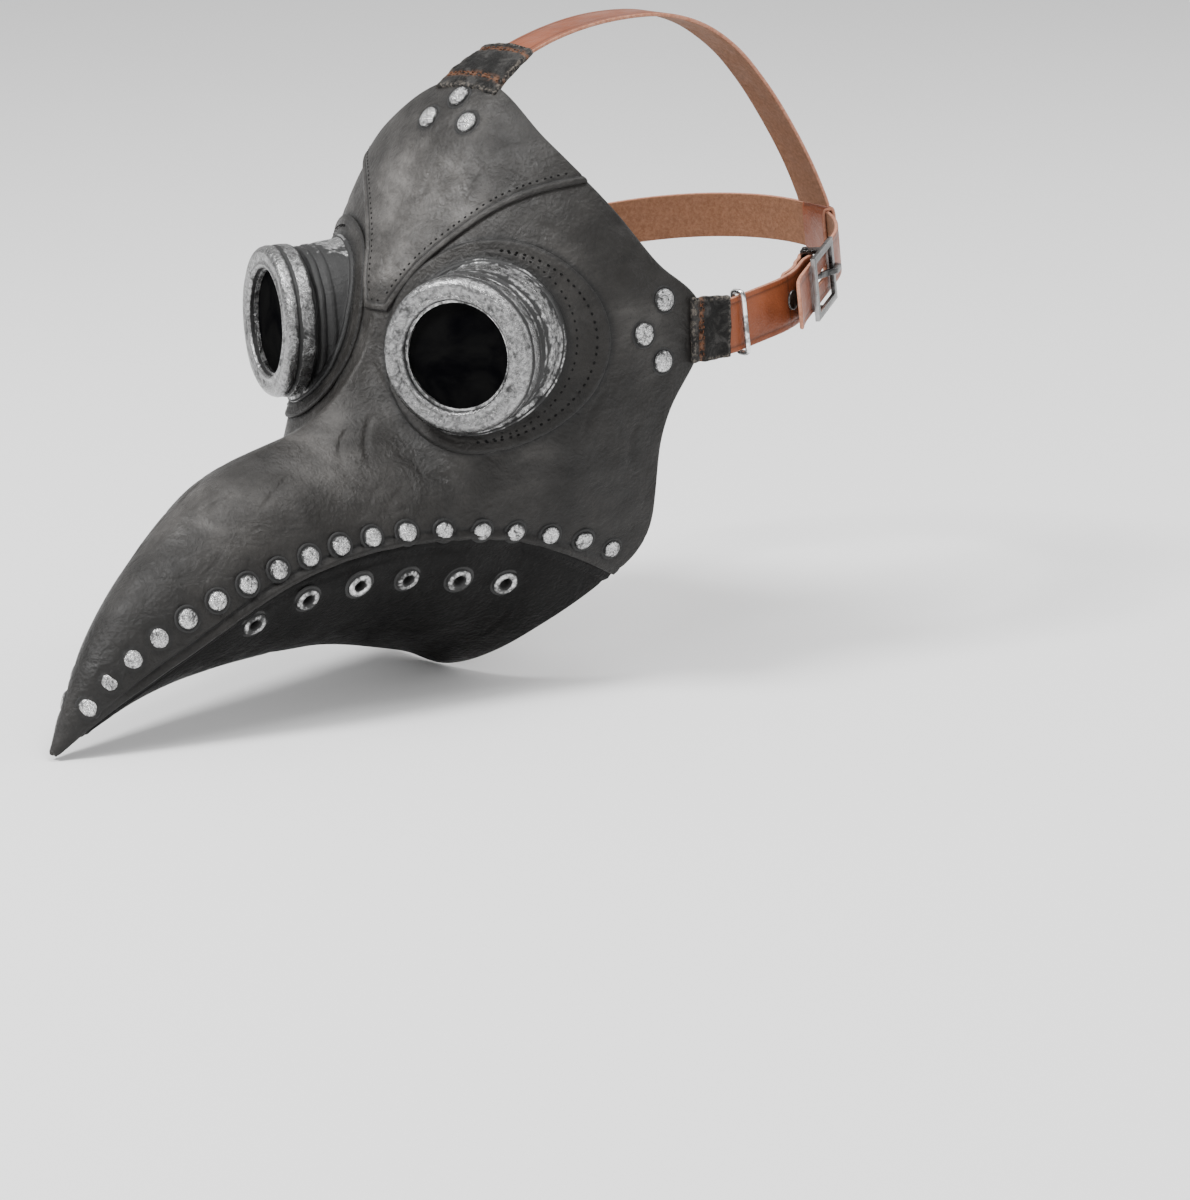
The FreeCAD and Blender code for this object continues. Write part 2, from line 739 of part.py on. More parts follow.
TEMPLE_STUDS = [V(77, -41, 14.5), V(76, -51, 3), V(77, -42.5, -8)]
BROW_STUDS = [V(0, -70, 84), V(-10, -76, 76), V(10, -76, 76)]
BROW_LIFT = 1.2
keep_pair(group("left_beak_studs", planted(beak_stud, stud_places)), "beak_studs")
keep_pair(group("left_eyelets", planted(eyelet, eyelet_places, size("jaw_inset"))), "eyelets")
keep_pair(group("left_temple_studs", planted(temple_stud, TEMPLE_STUDS)), "temple_studs")
keep(group("brow_studs", planted(brow_stud, BROW_STUDS, -BROW_LIFT)), "brow_studs")


# ---------------------------------------------------------------- harness

class Strip:
    """A strap's edge-on outline: a centre line of straights and arcs with parallel sides."""

    def __init__(self, start, heading):
        self.place = start
        self.heading = math.radians(heading)
        self.moves = []

    def ahead(self):
        return V(math.cos(self.heading), math.sin(self.heading), 0)

    def straight(self, length):
        end = self.place + self.ahead() * length
        self.moves.append(("line", self.place, end, self.ahead()))
        self.place = end
        return self

    def bend(self, radius, turn):
        """Turn left by a positive angle in degrees, right by a negative one."""
        sign = 1 if turn > 0 else -1
        left = V(-math.sin(self.heading), math.cos(self.heading), 0)
        centre = self.place + left * (radius * sign)
        start_angle = math.atan2(self.place.y - centre.y, self.place.x - centre.x)
        sweep = math.radians(turn)
        self.moves.append(("arc", centre, radius, start_angle, sweep, sign))
        end_angle = start_angle + sweep
        self.place = centre + V(math.cos(end_angle), math.sin(end_angle), 0) * radius
        self.heading += sweep
        return self

    def side(self, offset):
        """Edges parallel to the centre line; a positive offset lies to the left."""
        edges = []
        for move in self.moves:
            if move[0] == "line":
                _, start, end, ahead = move
                left = V(-ahead.y, ahead.x, 0) * offset
                edges.append(Part.LineSegment(start + left, end + left))
            else:
                _, centre, radius, start_angle, sweep, sign = move
                circle = Part.Circle(centre, Z_AXIS, radius - offset * sign)
                low = min(start_angle, start_angle + sweep)
                edges.append(Part.ArcOfCircle(circle, low, low + abs(sweep)))
        return edges

    def end_points(self, offset):
        """The two ends of a parallel side."""
        first, last = self.moves[0], self.moves[-1]
        start = self.end_of(first, offset, True)
        end = self.end_of(last, offset, False)
        return start, end

    def end_of(self, move, offset, at_start):
        if move[0] == "line":
            _, start, end, ahead = move
            return (start if at_start else end) + V(-ahead.y, ahead.x, 0) * offset
        _, centre, radius, start_angle, sweep, sign = move
        angle = start_angle if at_start else start_angle + sweep
        return centre + V(math.cos(angle), math.sin(angle), 0) * (radius - offset * sign)

    def draw(self, sketch, inner, outer):
        """Draw the strip between two offsets as a closed outline."""
        for edge in self.side(inner) + self.side(outer):
            sketch.addGeometry(edge, False)
        for a, b in zip(self.end_points(inner), self.end_points(outer)):
            sketch.addGeometry(Part.LineSegment(a, b), False)


harness_tilt = math.radians(size("harness_tilt"))
harness_placement = FreeCAD.Placement(
    V(0, size("harness_y"), size("harness_z")),
    FreeCAD.Rotation(X_AXIS, size("harness_tilt")))
STRAIGHT_BACK = 90.0
turn = size("strap_turn")
half_leather = size("leather") / 2

side_path = Strip(V(size("strap_p"), size("strap_start"), 0), STRAIGHT_BACK)
side_path.straight(size("strap_straight")).bend(size("strap_bend"), turn)
side_path.straight(size("fold_run"))
along = side_path.ahead()
outward = V(along.y, -along.x, 0)
pin_place = side_path.place - outward * half_leather


def buckle_point(u, v):
    """A place in the harness plane from its distances along the strap and out from the pin."""
    return pin_place + along * u + outward * v


buckle_placement = harness_placement.multiply(
    FreeCAD.Placement(pin_place, FreeCAD.Rotation(Z_AXIS, STRAIGHT_BACK + turn)))
# In the buckle's own frame X runs back along the strap, Y points to the head and Z is up.


def make_buckle_strap():
    """The strap from the temple tab, folded double round the buckle's pin and riveted."""
    def single(sketch):
        side_path.draw(sketch, -half_leather, half_leather)

    def fold(sketch):
        radius = size("strap_bend") - half_leather
        inner_radius = radius - size("leather")
        centre = V(size("strap_p") - size("strap_bend"), size("strap_start") + size("strap_straight"), 0)
        first = math.radians(turn * 0.35)
        last = math.radians(turn)
        for r in (radius, inner_radius):
            sketch.addGeometry(Part.ArcOfCircle(Part.Circle(centre, Z_AXIS, r), first, last), False)
        corners = [[centre + V(math.cos(a), math.sin(a), 0) * r for r in (radius, inner_radius)]
                   for a in (first, last)]
        ends = [corner + along * size("fold_run") for corner in corners[1]]
        for a, b in ((corners[0][0], corners[0][1]), (corners[1][0], ends[0]),
                     (corners[1][1], ends[1]), (ends[0], ends[1])):
            sketch.addGeometry(Part.LineSegment(a, b), False)

    outer_layer = padded("billet_outer_layer", "XY_Plane", single, "billet_width")
    inner_layer = padded("billet_inner_layer", "XY_Plane", fold, "billet_width")
    outer_layer.Placement = harness_placement
    inner_layer.Placement = harness_placement
    eye = doc.addObject("Part::Cylinder", "billet_eye")
    eye.setExpression("Radius", bound("eye_radius"))
    eye.setExpression("Height", bound("billet_width"))
    eye.Placement = buckle_placement.multiply(
        FreeCAD.Placement(V(0, 0, -size("billet_width") / 2), FreeCAD.Rotation()))
    blank = doc.addObject("Part::MultiFuse", "billet_blank")
    blank.Shapes = [outer_layer, inner_layer, eye]
    pin_hole = doc.addObject("Part::Cylinder", "billet_pin_hole")
    pin_hole.setExpression("Radius", bound("pin_radius + 0.08"))
    pin_hole.setExpression("Height", bound("pin_length"))
    pin_hole.Placement = buckle_placement.multiply(
        FreeCAD.Placement(V(0, 0, -size("pin_length") / 2), FreeCAD.Rotation()))
    slot = doc.addObject("Part::Box", "billet_slot")
    slot.setExpression("Length", bound("billet_slot_length"))
    slot.setExpression("Width", bound("billet_slot_depth"))
    slot.setExpression("Height", bound("slot_width"))
    corner = V(size("billet_slot_length"), size("billet_slot_depth"), size("slot_width")) * -0.5
    slot.Placement = buckle_placement.multiply(FreeCAD.Placement(corner, FreeCAD.Rotation()))
    tools = doc.addObject("Part::MultiFuse", "billet_cutters")
    tools.Shapes = [pin_hole, slot]
    return joined("Part::Cut", "left_buckle_strap", blank, tools)


def ring_body(name, role, half_sizes, bars, centre, thickness):
    """A rectangular ring; centre is its middle along the first axis of its plane."""
    (half_a, half_b), (bar_a, bar_b) = half_sizes, bars

    def rectangle(sketch, a, b):
        points = [V(centre + a, b, 0), V(centre - a, b, 0), V(centre - a, -b, 0), V(centre + a, -b, 0)]
        for start, end in zip(points, points[1:] + points[:1]):
            sketch.addGeometry(Part.LineSegment(start, end), False)

    def draw(sketch):
        rectangle(sketch, half_a, half_b)
        rectangle(sketch, half_a - bar_a, half_b - bar_b)

    return padded(name, role, draw, thickness)


def make_buckle_frame():
    """A flat rectangular frame standing off a pin by two lugs; the strap slides between."""
    front, back = size("frame_front"), size("frame_back")
    plate = ring_body(
        "buckle_plate", "XZ_Plane",
        ((front + back) / 2, size("frame_height") / 2), (size("frame_bar"), size("frame_rail")),
        (back - front) / 2, "frame_plate")
    level = size("frame_level") + size("frame_plate") / 2
    plate.Placement = buckle_placement.multiply(FreeCAD.Placement(V(0, -level, 0), FreeCAD.Rotation()))
    parts = [plate]
    for name, sign in (("upper", 1), ("lower", -1)):
        lug = doc.addObject("Part::Box", f"buckle_{name}_lug")
        lug.setExpression("Length", bound("lug_length"))
        lug.setExpression("Width", bound("frame_level + pin_radius + 0.8"))
        lug.setExpression("Height", bound("lug_thickness"))
        base = size("frame_height") / 2 - size("lug_thickness") if sign > 0 else -size("frame_height") / 2
        corner = V(-size("lug_length") / 2, -size("frame_level") - 0.5, base)
        lug.Placement = buckle_placement.multiply(FreeCAD.Placement(corner, FreeCAD.Rotation()))
        parts.append(lug)
    pin = doc.addObject("Part::Cylinder", "buckle_pin")
    pin.setExpression("Radius", bound("pin_radius"))
    pin.setExpression("Height", bound("pin_length"))
    pin.Placement = buckle_placement.multiply(
        FreeCAD.Placement(V(0, 0, -size("pin_length") / 2), FreeCAD.Rotation()))
    parts.append(pin)
    frame = doc.addObject("Part::MultiFuse", "left_buckle_frame")
    frame.Shapes = parts
    return frame


def make_buckle_tongue():
    """A prong with an eye round the pin; it crosses the strap and rests on the far bar."""
    half = size("tongue_width") / 2
    rest = size("frame_level") + size("frame_plate") + 0.15
    bar = size("frame_back") - size("frame_bar")

    tip = size("frame_back")

    def draw(sketch):
        outer_side = [V(1.6, -2.2, 0), V(bar - 3.5, -rest - 0.2, 0), V(bar - 1.5, -rest - 2 * half, 0),
                      V(tip + 1, -rest - 2 * half, 0), V(tip + 3.6, -rest + 0.9, 0)]
        inner_side = [V(tip + 2.2, -rest + 1.4, 0), V(tip + 0.5, -rest, 0), V(bar - 0.7, -rest, 0),
                      V(bar - 2.0, -rest + 1.3, 0), V(2.8, -0.2, 0)]
        points = outer_side + inner_side
        for start, end in zip(points, points[1:] + points[:1]):
            sketch.addGeometry(Part.LineSegment(start, end), False)

    arm = padded("tongue_arm", "XY_Plane", draw, "tongue_width")
    arm.Placement = buckle_placement
    ring = revolved("tongue_eye", [
        ("pin_radius + 0.1", "-tongue_width / 2"),
        ("pin_radius + 0.1 + tongue_width * 0.8", "-tongue_width / 2"),
        ("pin_radius + 0.1 + tongue_width * 0.8", "tongue_width / 2"),
        ("pin_radius + 0.1", "tongue_width / 2"),
    ])
    ring.Placement = buckle_placement
    bore = doc.addObject("Part::Cylinder", "tongue_bore")
    bore.setExpression("Radius", bound("pin_radius + 0.1"))
    bore.setExpression("Height", bound("pin_length"))
    bore.Placement = buckle_placement.multiply(
        FreeCAD.Placement(V(0, 0, -size("pin_length") / 2), FreeCAD.Rotation()))
    whole = joined("Part::Fuse", "tongue_blank", ring, arm)
    return joined("Part::Cut", "left_buckle_tongue", whole, bore)


def make_rear_strap():
    """The strap round the back of the head; both its ends pass through the buckles."""
    level = size("strap_level") + half_leather
    cut_end = size("tail_hinge") - half_leather - size("tail_gap")
    start = buckle_point(-cut_end, level)
    run = cut_end + size("back_run")
    to_back = start + along * run
    back_radius = to_back.x / math.cos(math.radians(turn))
    path = Strip(start, STRAIGHT_BACK + turn)
    path.straight(run).bend(back_radius, 2 * (90 - turn)).straight(run)
    strap = padded("rear_strap_blank", "XY_Plane",
                   lambda sketch: path.draw(sketch, -half_leather, half_leather), "strap_width")
    strap.Placement = harness_placement
    slot = doc.addObject("Part::Box", "left_strap_slot")
    slot.setExpression("Length", bound("strap_slot_length"))
    slot.setExpression("Width", bound("strap_slot_depth"))
    slot.setExpression("Height", bound("slot_width"))
    middle = size("strap_level") + half_leather
    corner = V(-size("strap_slot_start"), -middle - size("strap_slot_depth") / 2,
               -size("slot_width") / 2)
    slot.Placement = buckle_placement.multiply(FreeCAD.Placement(corner, FreeCAD.Rotation()))
    slots = doc.addObject("Part::MultiFuse", "strap_slots")
    slots.Shapes = [slot, mirrored("right_strap_slot", slot)]
    return joined("Part::Cut", "rear_strap", strap, slots), back_radius, to_back


def make_strap_tail():
    """The free end of the rear strap, curling away from the head, with a rounded root."""
    level = size("strap_level") + half_leather
    start = buckle_point(-size("tail_hinge"), level)
    curl = math.degrees(size("tail_curl") / size("tail_bend"))
    path = Strip(start, STRAIGHT_BACK + turn + 180)
    path.straight(size("tail_straight")).bend(size("tail_bend"), curl)
    blade = padded("strap_tail_blade", "XY_Plane",
                   lambda sketch: path.draw(sketch, -half_leather, half_leather), "strap_width")
    blade.Placement = harness_placement
    root = doc.addObject("Part::Cylinder", "strap_tail_root")
    root.setExpression("Radius", bound("leather / 2"))
    root.setExpression("Height", bound("strap_width"))
    root.Placement = buckle_placement.multiply(FreeCAD.Placement(
        V(-size("tail_hinge"), -level, -size("strap_width") / 2), FreeCAD.Rotation()))
    return joined("Part::Fuse", "left_strap_tail", blade, root)


def make_keeper_ring():
    """A rectangular wire ring round the strap, free to slide between the tab and the fold."""
    wire = size("keeper_wire")
    half_depth = size("keeper_inside_depth") / 2 + wire
    half_width = size("keeper_inside_width") / 2 + wire
    ring = ring_body("left_keeper_ring", "XZ_Plane", (half_depth, half_width), (wire, wire),
                     0, "keeper_wire")
    place = V(size("strap_p"), size("keeper_place"), 0)
    ring.Placement = harness_placement.multiply(FreeCAD.Placement(place, FreeCAD.Rotation()))
    return ring


def rivet_master(name, grip):
    """A domed head, a post through the leather and a flat washer on the head side."""
    return revolved(name, [
        ("0", f"-{grip} - 0.7"),
        ("rivet_radius * 0.85", f"-{grip} - 0.7"),
        ("rivet_radius * 0.85", f"-{grip}"),
        ("stud_shank_radius", f"-{grip}"),
        ("stud_shank_radius", "0"),
        ("rivet_radius", "0"),
        ("rivet_radius * 0.95", "rivet_rise * 0.5"),
        ("rivet_radius * 0.5", "rivet_rise"),
        ("0", "rivet_rise"),
    ])


def make_fold_rivet():
    """The rivet that closes the fold of the buckle strap."""
    rivet = rivet_master("left_fold_rivet", "leather * 2")
    angle = math.radians(turn * 0.52)
    centre = V(size("strap_p") - size("strap_bend"), size("strap_start") + size("strap_straight"), 0)
    direction = V(math.cos(angle), math.sin(angle), 0)
    place = centre + direction * (size("strap_bend") + half_leather)
    local = FreeCAD.Placement(place, FreeCAD.Rotation(Z_AXIS, direction))
    rivet.Placement = harness_placement.multiply(local)
    return rivet


# ---------------------------------------------------------------- crown strap and its loop

def crown_placement():
    """Local X runs back over the head, local Y is up and the strap's width is along local Z."""
    skew = math.radians(size("crown_skew"))
    back = V(math.sin(skew), math.cos(skew), 0)
    return FreeCAD.Placement(V(0, size("crown_y"), size("crown_z")),
                             FreeCAD.Rotation(back, Z_AXIS, back.cross(Z_AXIS), "XYZ"))


# The strap sets out upward at this angle after its tucked-in end, then bends over the head.
CROWN_RISE = 26.0
CROWN_TUCK = 6.0
CROWN_BENDS = [(128, 27.3), (69, 45.6), (214, 17.8), (31, 5.0)]


def make_crown_strap():
    """A strap from the forehead tab over the crown and down to the rear strap."""
    rise = math.radians(CROWN_RISE)
    tucked_end = V(math.cos(rise), math.sin(rise), 0) * -CROWN_TUCK
    path = Strip(tucked_end, CROWN_RISE).straight(CROWN_TUCK)
    for radius, fall in CROWN_BENDS:
        path.bend(radius, -fall)
    strap = padded("crown_strap", "XY_Plane",
                   lambda sketch: path.draw(sketch, -half_leather, half_leather), "crown_width")
    strap.Placement = crown_placement()
    return strap


def make_crown_loop(back_radius, to_back):
    """The leather loop that hangs the rear strap from the crown strap's end."""
    centre_q = to_back.y - back_radius * math.sin(math.radians(turn))
    angle = math.acos(size("loop_place") / back_radius)
    direction = V(math.cos(angle), math.sin(angle), 0)
    place = V(0, centre_q, 0) + direction * back_radius
    gap = size("loop_clearance") + size("leather") / 2
    half_depth = gap + size("leather")
    half_height = size("strap_width") / 2 + size("loop_clearance") + size("leather")
    loop = ring_body("crown_loop", "YZ_Plane", (half_depth, half_height),
                     (size("leather"), size("leather")), 0, "crown_width")
    local = FreeCAD.Placement(place, FreeCAD.Rotation(Z_AXIS, math.degrees(angle) - 90))
    loop.Placement = harness_placement.multiply(local)
    return loop


keep_pair(make_buckle_strap(), "buckle_strap")
keep_pair(make_fold_rivet(), "fold_rivet")
rear_strap, back_radius, to_back = make_rear_strap()
keep(rear_strap, "rear_strap")
keep_pair(make_strap_tail(), "strap_tail")
keep_pair(make_buckle_frame(), "buckle_frame")
keep_pair(make_buckle_tongue(), "buckle_tongue")
keep_pair(make_keeper_ring(), "keeper_ring")
keep(make_crown_strap(), "crown_strap")
keep(make_crown_loop(back_radius, to_back), "crown_loop")


# ---------------------------------------------------------------- check and write

def write_parts():
    doc.recompute()
    for thing in doc.Objects:
        if "Invalid" in thing.State or "Error" in thing.State:
            raise RuntimeError(f"{thing.Label} failed: {thing.State}")
    os.makedirs("parts", exist_ok=True)
    for node in NODES:
        shape = node.Shape
        if shape.isNull() or not shape.isValid() or not shape.Solids:
            raise RuntimeError(f"{node.Label} has no valid solid")
        shape.exportStep(os.path.join("parts", node.Label + ".step"))
        print(f"{node.Label}: {len(shape.Solids)} solids, {shape.Volume:.1f} mm3")
    pin = harness_placement.multVec(pin_place)
    hinge = harness_placement.multVec(buckle_point(-size("tail_hinge"),
                                                   size("strap_level") + half_leather))
    print("buckle pin", [round(c, 3) for c in pin], "tail hinge", [round(c, 3) for c in hinge])


write_parts()
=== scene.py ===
"""Plague doctor mask: the visible pieces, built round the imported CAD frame.

Shapes are worked out in millimetres in the CAD frame (+Z up, the beak to -Y, +X the wearer's
left) and handed to Blender in metres.
"""

import math

import bmesh
import bpy
import numpy as np
from mathutils import Matrix, Vector
from mathutils.bvhtree import BVHTree


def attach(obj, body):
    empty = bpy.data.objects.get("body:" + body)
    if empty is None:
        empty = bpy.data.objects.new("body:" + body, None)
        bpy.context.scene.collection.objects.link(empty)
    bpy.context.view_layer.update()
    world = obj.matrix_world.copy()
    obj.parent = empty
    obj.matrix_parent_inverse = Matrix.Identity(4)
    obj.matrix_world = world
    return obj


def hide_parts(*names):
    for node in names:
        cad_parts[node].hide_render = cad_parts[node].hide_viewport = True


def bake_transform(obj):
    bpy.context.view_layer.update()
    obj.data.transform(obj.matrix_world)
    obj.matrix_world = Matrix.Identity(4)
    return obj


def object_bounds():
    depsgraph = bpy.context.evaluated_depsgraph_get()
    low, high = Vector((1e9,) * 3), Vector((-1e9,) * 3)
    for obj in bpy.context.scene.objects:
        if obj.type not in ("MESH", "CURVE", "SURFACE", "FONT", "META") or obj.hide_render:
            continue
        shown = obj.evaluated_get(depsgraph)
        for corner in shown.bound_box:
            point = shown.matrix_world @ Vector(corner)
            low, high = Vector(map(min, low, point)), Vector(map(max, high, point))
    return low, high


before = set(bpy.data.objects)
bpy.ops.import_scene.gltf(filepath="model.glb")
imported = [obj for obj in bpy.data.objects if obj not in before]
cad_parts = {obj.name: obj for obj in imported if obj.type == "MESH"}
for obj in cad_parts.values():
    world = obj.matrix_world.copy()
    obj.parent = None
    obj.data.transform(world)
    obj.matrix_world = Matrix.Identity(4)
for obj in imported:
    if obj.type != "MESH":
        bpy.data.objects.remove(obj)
cad_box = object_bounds()
MM = 0.001
SIDES = (("left", 1), ("right", -1))
HEAD_MIDDLE = np.array([0, -60, -20])


# ---------------------------------------------------------------- small numeric helpers

def ramp(values, low, high):
    """0 below low, 1 above high and a smooth step between."""
    t = np.clip((values - low) / (high - low), 0, 1)
    return t * t * (3 - 2 * t)


def bump(distance, width):
    """A smooth ridge: 1 at distance 0, falling to 0 at the width."""
    return 1 - ramp(np.abs(distance), 0, width)


LATTICE = np.random.RandomState(7).rand(32, 32, 32)


def value_noise(points, scale, seed=0):
    """Smooth random values from -1 to 1 that change over about `scale` millimetres."""
    p = points / scale + seed * np.array([7.31, 3.77, 5.19])
    cell = np.floor(p).astype(int)
    t = p - cell
    t = t * t * (3 - 2 * t)
    total = 0
    for corner in range(8):
        step = np.array([corner & 1, corner >> 1 & 1, corner >> 2 & 1])
        weight = np.prod(np.where(step, t, 1 - t), axis=1)
        i, j, k = ((cell + step) % len(LATTICE)).T
        total = total + weight * LATTICE[i, j, k]
    return total * 2 - 1


def dented(points, amount, scale, seed):
    """Push points about by a smooth random amount, as on hand-worked metal."""
    return points + amount * np.stack([value_noise(points, scale, seed + k) for k in range(3)], 1)


def unit(vectors):
    return vectors / np.maximum(np.linalg.norm(vectors, axis=-1, keepdims=True), 1e-9)


def turns(count):
    """Evenly spread angles round a circle."""
    return np.linspace(0, 2 * math.pi, count, endpoint=False)


def lengths(path):
    """The distance along a path to each of its points."""
    return np.concatenate([[0], np.cumsum(np.linalg.norm(np.diff(path, axis=0), axis=1))])


def read_off(where, knots, values):
    """Points read off a path, whose knots rise, at some places."""
    return np.stack([np.interp(where, knots, column) for column in values.T], -1)


class Spline:
    """A natural cubic curve through values given at rising knots."""

    def __init__(self, knots):
        self.knots = np.asarray(knots, float)
        count = len(self.knots)
        gap = np.diff(self.knots)
        left, right = np.eye(count), np.zeros((count, count))
        for i in range(1, count - 1):
            left[i, i - 1:i + 2] = gap[i - 1] / 6, (gap[i - 1] + gap[i]) / 3, gap[i] / 6
            right[i, i - 1:i + 2] = 1 / gap[i - 1], -1 / gap[i - 1] - 1 / gap[i], 1 / gap[i]
        self.bending = np.linalg.solve(left, right)

    def weights(self, where):
        """How much each knot's value counts at each place."""
        k = np.clip(np.searchsorted(self.knots, where) - 1, 0, len(self.knots) - 2)
        gap = self.knots[k + 1] - self.knots[k]
        t = (where - self.knots[k]) / gap
        weights = np.zeros((len(where), len(self.knots)))
        rows = np.arange(len(where))
        weights[rows, k] += 1 - t
        weights[rows, k + 1] += t
        low = ((1 - t) ** 3 - (1 - t)) * gap ** 2 / 6
        high = (t ** 3 - t) * gap ** 2 / 6
        return weights + low[:, None] * self.bending[k] + high[:, None] * self.bending[k + 1]


def smooth_path(points, count):
    """Evenly spread points on a smooth curve through the given ones."""
    points = np.asarray(points, float)
    knots = lengths(points)
    fine = Spline(knots).weights(np.linspace(0, knots[-1], 40 * len(points))) @ points
    run = lengths(fine)
    return read_off(np.linspace(0, run[-1], count), run, fine)


def nearest_on(points, path):
    """Each point's distance from a path, and the place on it as a share of its steps."""
    best, share = np.full(len(points), 1e9), np.zeros(len(points))
    for i, (a, b) in enumerate(zip(path, path[1:])):
        run = b - a
        t = np.clip(((points - a) @ run) / (run @ run), 0, 1)
        distance = np.linalg.norm(points - a - t[:, None] * run, axis=1)
        nearer = distance < best
        best = np.where(nearer, distance, best)
        share = np.where(nearer, (i + t) / (len(path) - 1), share)
    return best, share


def distance_to(points, centres):
    """Distance from each point to the nearest of a few centres."""
    return np.min([np.linalg.norm(points - centre, axis=1) for centre in centres], axis=0)


def solve(test, low, high, rounds=34):
    """Where a test, negative at low and positive at high, changes sign, for arrays of ends."""
    for _ in range(rounds):
        middle = (low + high) / 2
        above = test(middle) > 0
        high = np.where(above, middle, high)
        low = np.where(above, low, middle)
    return (low + high) / 2


def mirror(points):
    return points * np.array([-1, 1, 1])


def folded_left(points):
    """The same points with the wearer's right side folded over to the left."""
    return np.concatenate([np.abs(points[:, :1]), points[:, 1:]], 1)


# ---------------------------------------------------------------- form of the shell

ROUND = (2.2, 0.50)
# Cross-sections from the back to the tip: ridge (y, z), keel (y, z), half width, height share
# of the widest place, outline powers above and below it, and the share of a plain ellipse.
STATIONS = [
    ((8, 112), (8, -142), 82, 0.56, ROUND, ROUND, 0),
    ((-22, 108), (-24, -140), 80, 0.56, ROUND, ROUND, 0),
    ((-50, 97), (-54, -137), 76, 0.55, ROUND, (2.2, 0.52), 0),
    ((-70, 83), (-84, -129), 70, 0.52, ROUND, (2.0, 0.55), 0),
    ((-85, 62), (-97, -123), 63, 0.48, (2.2, 0.52), (1.9, 0.60), 0),
    ((-98, 40), (-109, -119), 57, 0.44, (2.2, 0.55), (1.8, 0.62), 0),
    ((-110, 21), (-120, -116), 52, 0.42, (2.0, 0.95), (1.7, 0.65), 0.12),
    ((-117, 2), (-130, -113.5), 48, 0.45, (1.9, 1.80), (1.7, 0.68), 0.14),
    ((-128, -14), (-143, -111), 44, 0.47, (1.9, 1.70), (1.6, 0.70), 0.16),
    ((-148, -27), (-160, -109.5), 39.5, 0.48, (1.9, 1.05), (1.6, 0.70), 0.22),
    ((-176, -34.5), (-180, -109), 34, 0.48, (2.0, 0.62), (1.6, 0.70), 0),
    ((-201, -46), (-202, -110), 28, 0.48, (2.0, 0.57), (1.6, 0.70), 0),
    ((-225, -64), (-222, -112.5), 21, 0.46, (2.0, 0.55), (1.6, 0.70), 0),
    ((-246, -84), (-240, -117), 14, 0.45, (2.0, 0.55), (1.6, 0.70), 0),
    ((-261, -107), (-256, -123), 7.5, 0.45, (2.0, 0.55), (1.6, 0.70), 0),
    ((-269.5, -124), (-268, -128.5), 2, 0.50, (2.0, 0.50), (2.0, 0.50), 0),
]
ALONG = Spline(lengths(np.array([np.add(ridge, keel) / 2 for ridge, keel, *_ in STATIONS])))
JAW_TIP, TIP = ALONG.knots[-2:]
NOSE_END = TIP * 0.6


def section_points(turn, grow):
    """Each station's outline point at a turn of 0 (ridge) to +-pi (keel), for many turns."""
    side = np.where(turn < 0, -1.0, 1.0)
    across = np.cos(turn)
    upper = across >= 0
    result = np.zeros((len(turn), len(STATIONS), 3))
    for k, (ridge, keel, half_width, waist, above, below, cap) in enumerate(STATIONS):
        share = waist + np.where(upper, 1 - waist, waist) * across
        a, b = (np.where(upper, above[i], below[i]) for i in (0, 1))
        mix = np.where(upper, cap, 0)
        fullness = np.maximum(0, 1 - np.abs(across) ** a) ** b
        width = fullness * (1 - mix) + np.abs(np.sin(turn)) * mix
        result[:, k, 0] = side * (half_width + grow) * width
        rise = np.subtract(ridge, keel)
        reach = (share - 0.5) * (1 + 2 * grow / np.hypot(*rise))
        result[:, k, 1:] = np.add(ridge, keel) / 2 + rise * reach[:, None]
    return result


def form(where, turn, grow=0.0):
    """Points of the shell's outer form, by the distance along it and the turn round it."""
    where, turn = np.broadcast_arrays(np.asarray(where, float), np.asarray(turn, float))
    weights = ALONG.weights(where.ravel())
    points = np.einsum("nk,nkc->nc", weights, section_points(turn.ravel(), grow))
    return points.reshape(where.shape + (3,))


# Side-view curves (y, z): the rim against the head and the mouth line.
RIM = [(-62, 140), (-62, 92), (-66.5, 74), (-61, 57), (-52, 42), (-40, 25), (-28, 15), (-23, 3),
       (-28, -10), (-37, -23), (-42, -38), (-41.5, -57), (-43, -79), (-51, -89), (-63, -100),
       (-74, -111), (-86, -129), (-92, -150)]
MOUTH = [(20, -126), (-25, -103), (-55, -87), (-80, -75), (-102, -68), (-133, -65.5), (-163, -68),
         (-193, -77), (-222, -94), (-246, -109), (-269, -126), (-300, -152)]
RIM_LINE = np.concatenate([[RIM[0]], smooth_path(RIM[1:-1], 400), [RIM[-1]]])[::-1]
MOUTH_LINE = np.concatenate([[MOUTH[0]], smooth_path(MOUTH[1:], 400)])[::-1]


def rim_y(z):
    return np.interp(z, RIM_LINE[:, 1], RIM_LINE[:, 0])


def above_mouth(points):
    return points[..., 2] - np.interp(points[..., 1], *MOUTH_LINE.T)


MOUTH_PLACES = np.linspace(0, TIP, 300)
MOUTH_TURNS = solve(lambda turn: -above_mouth(form(MOUTH_PLACES, turn)),
                    np.zeros(300), np.full(300, math.pi))


def mouth_turn(where):
    """The turn at which the mouth line crosses each section."""
    return np.interp(where, MOUTH_PLACES, MOUTH_TURNS)


# ---------------------------------------------------------------- meshes

def grid_faces(rows, columns, wrap=False, loop=False):
    """Quads of a grid stored row by row; wrap joins its last column to the first, loop its rows."""
    index = np.arange(rows * columns).reshape(rows, columns)
    if wrap:
        index = np.concatenate([index, index[:, :1]], axis=1)
    if loop:
        index = np.concatenate([index, index[:1]])
    corners = [index[:-1, :-1], index[1:, :-1], index[1:, 1:], index[:-1, 1:]]
    return np.stack([c.ravel() for c in corners], 1)


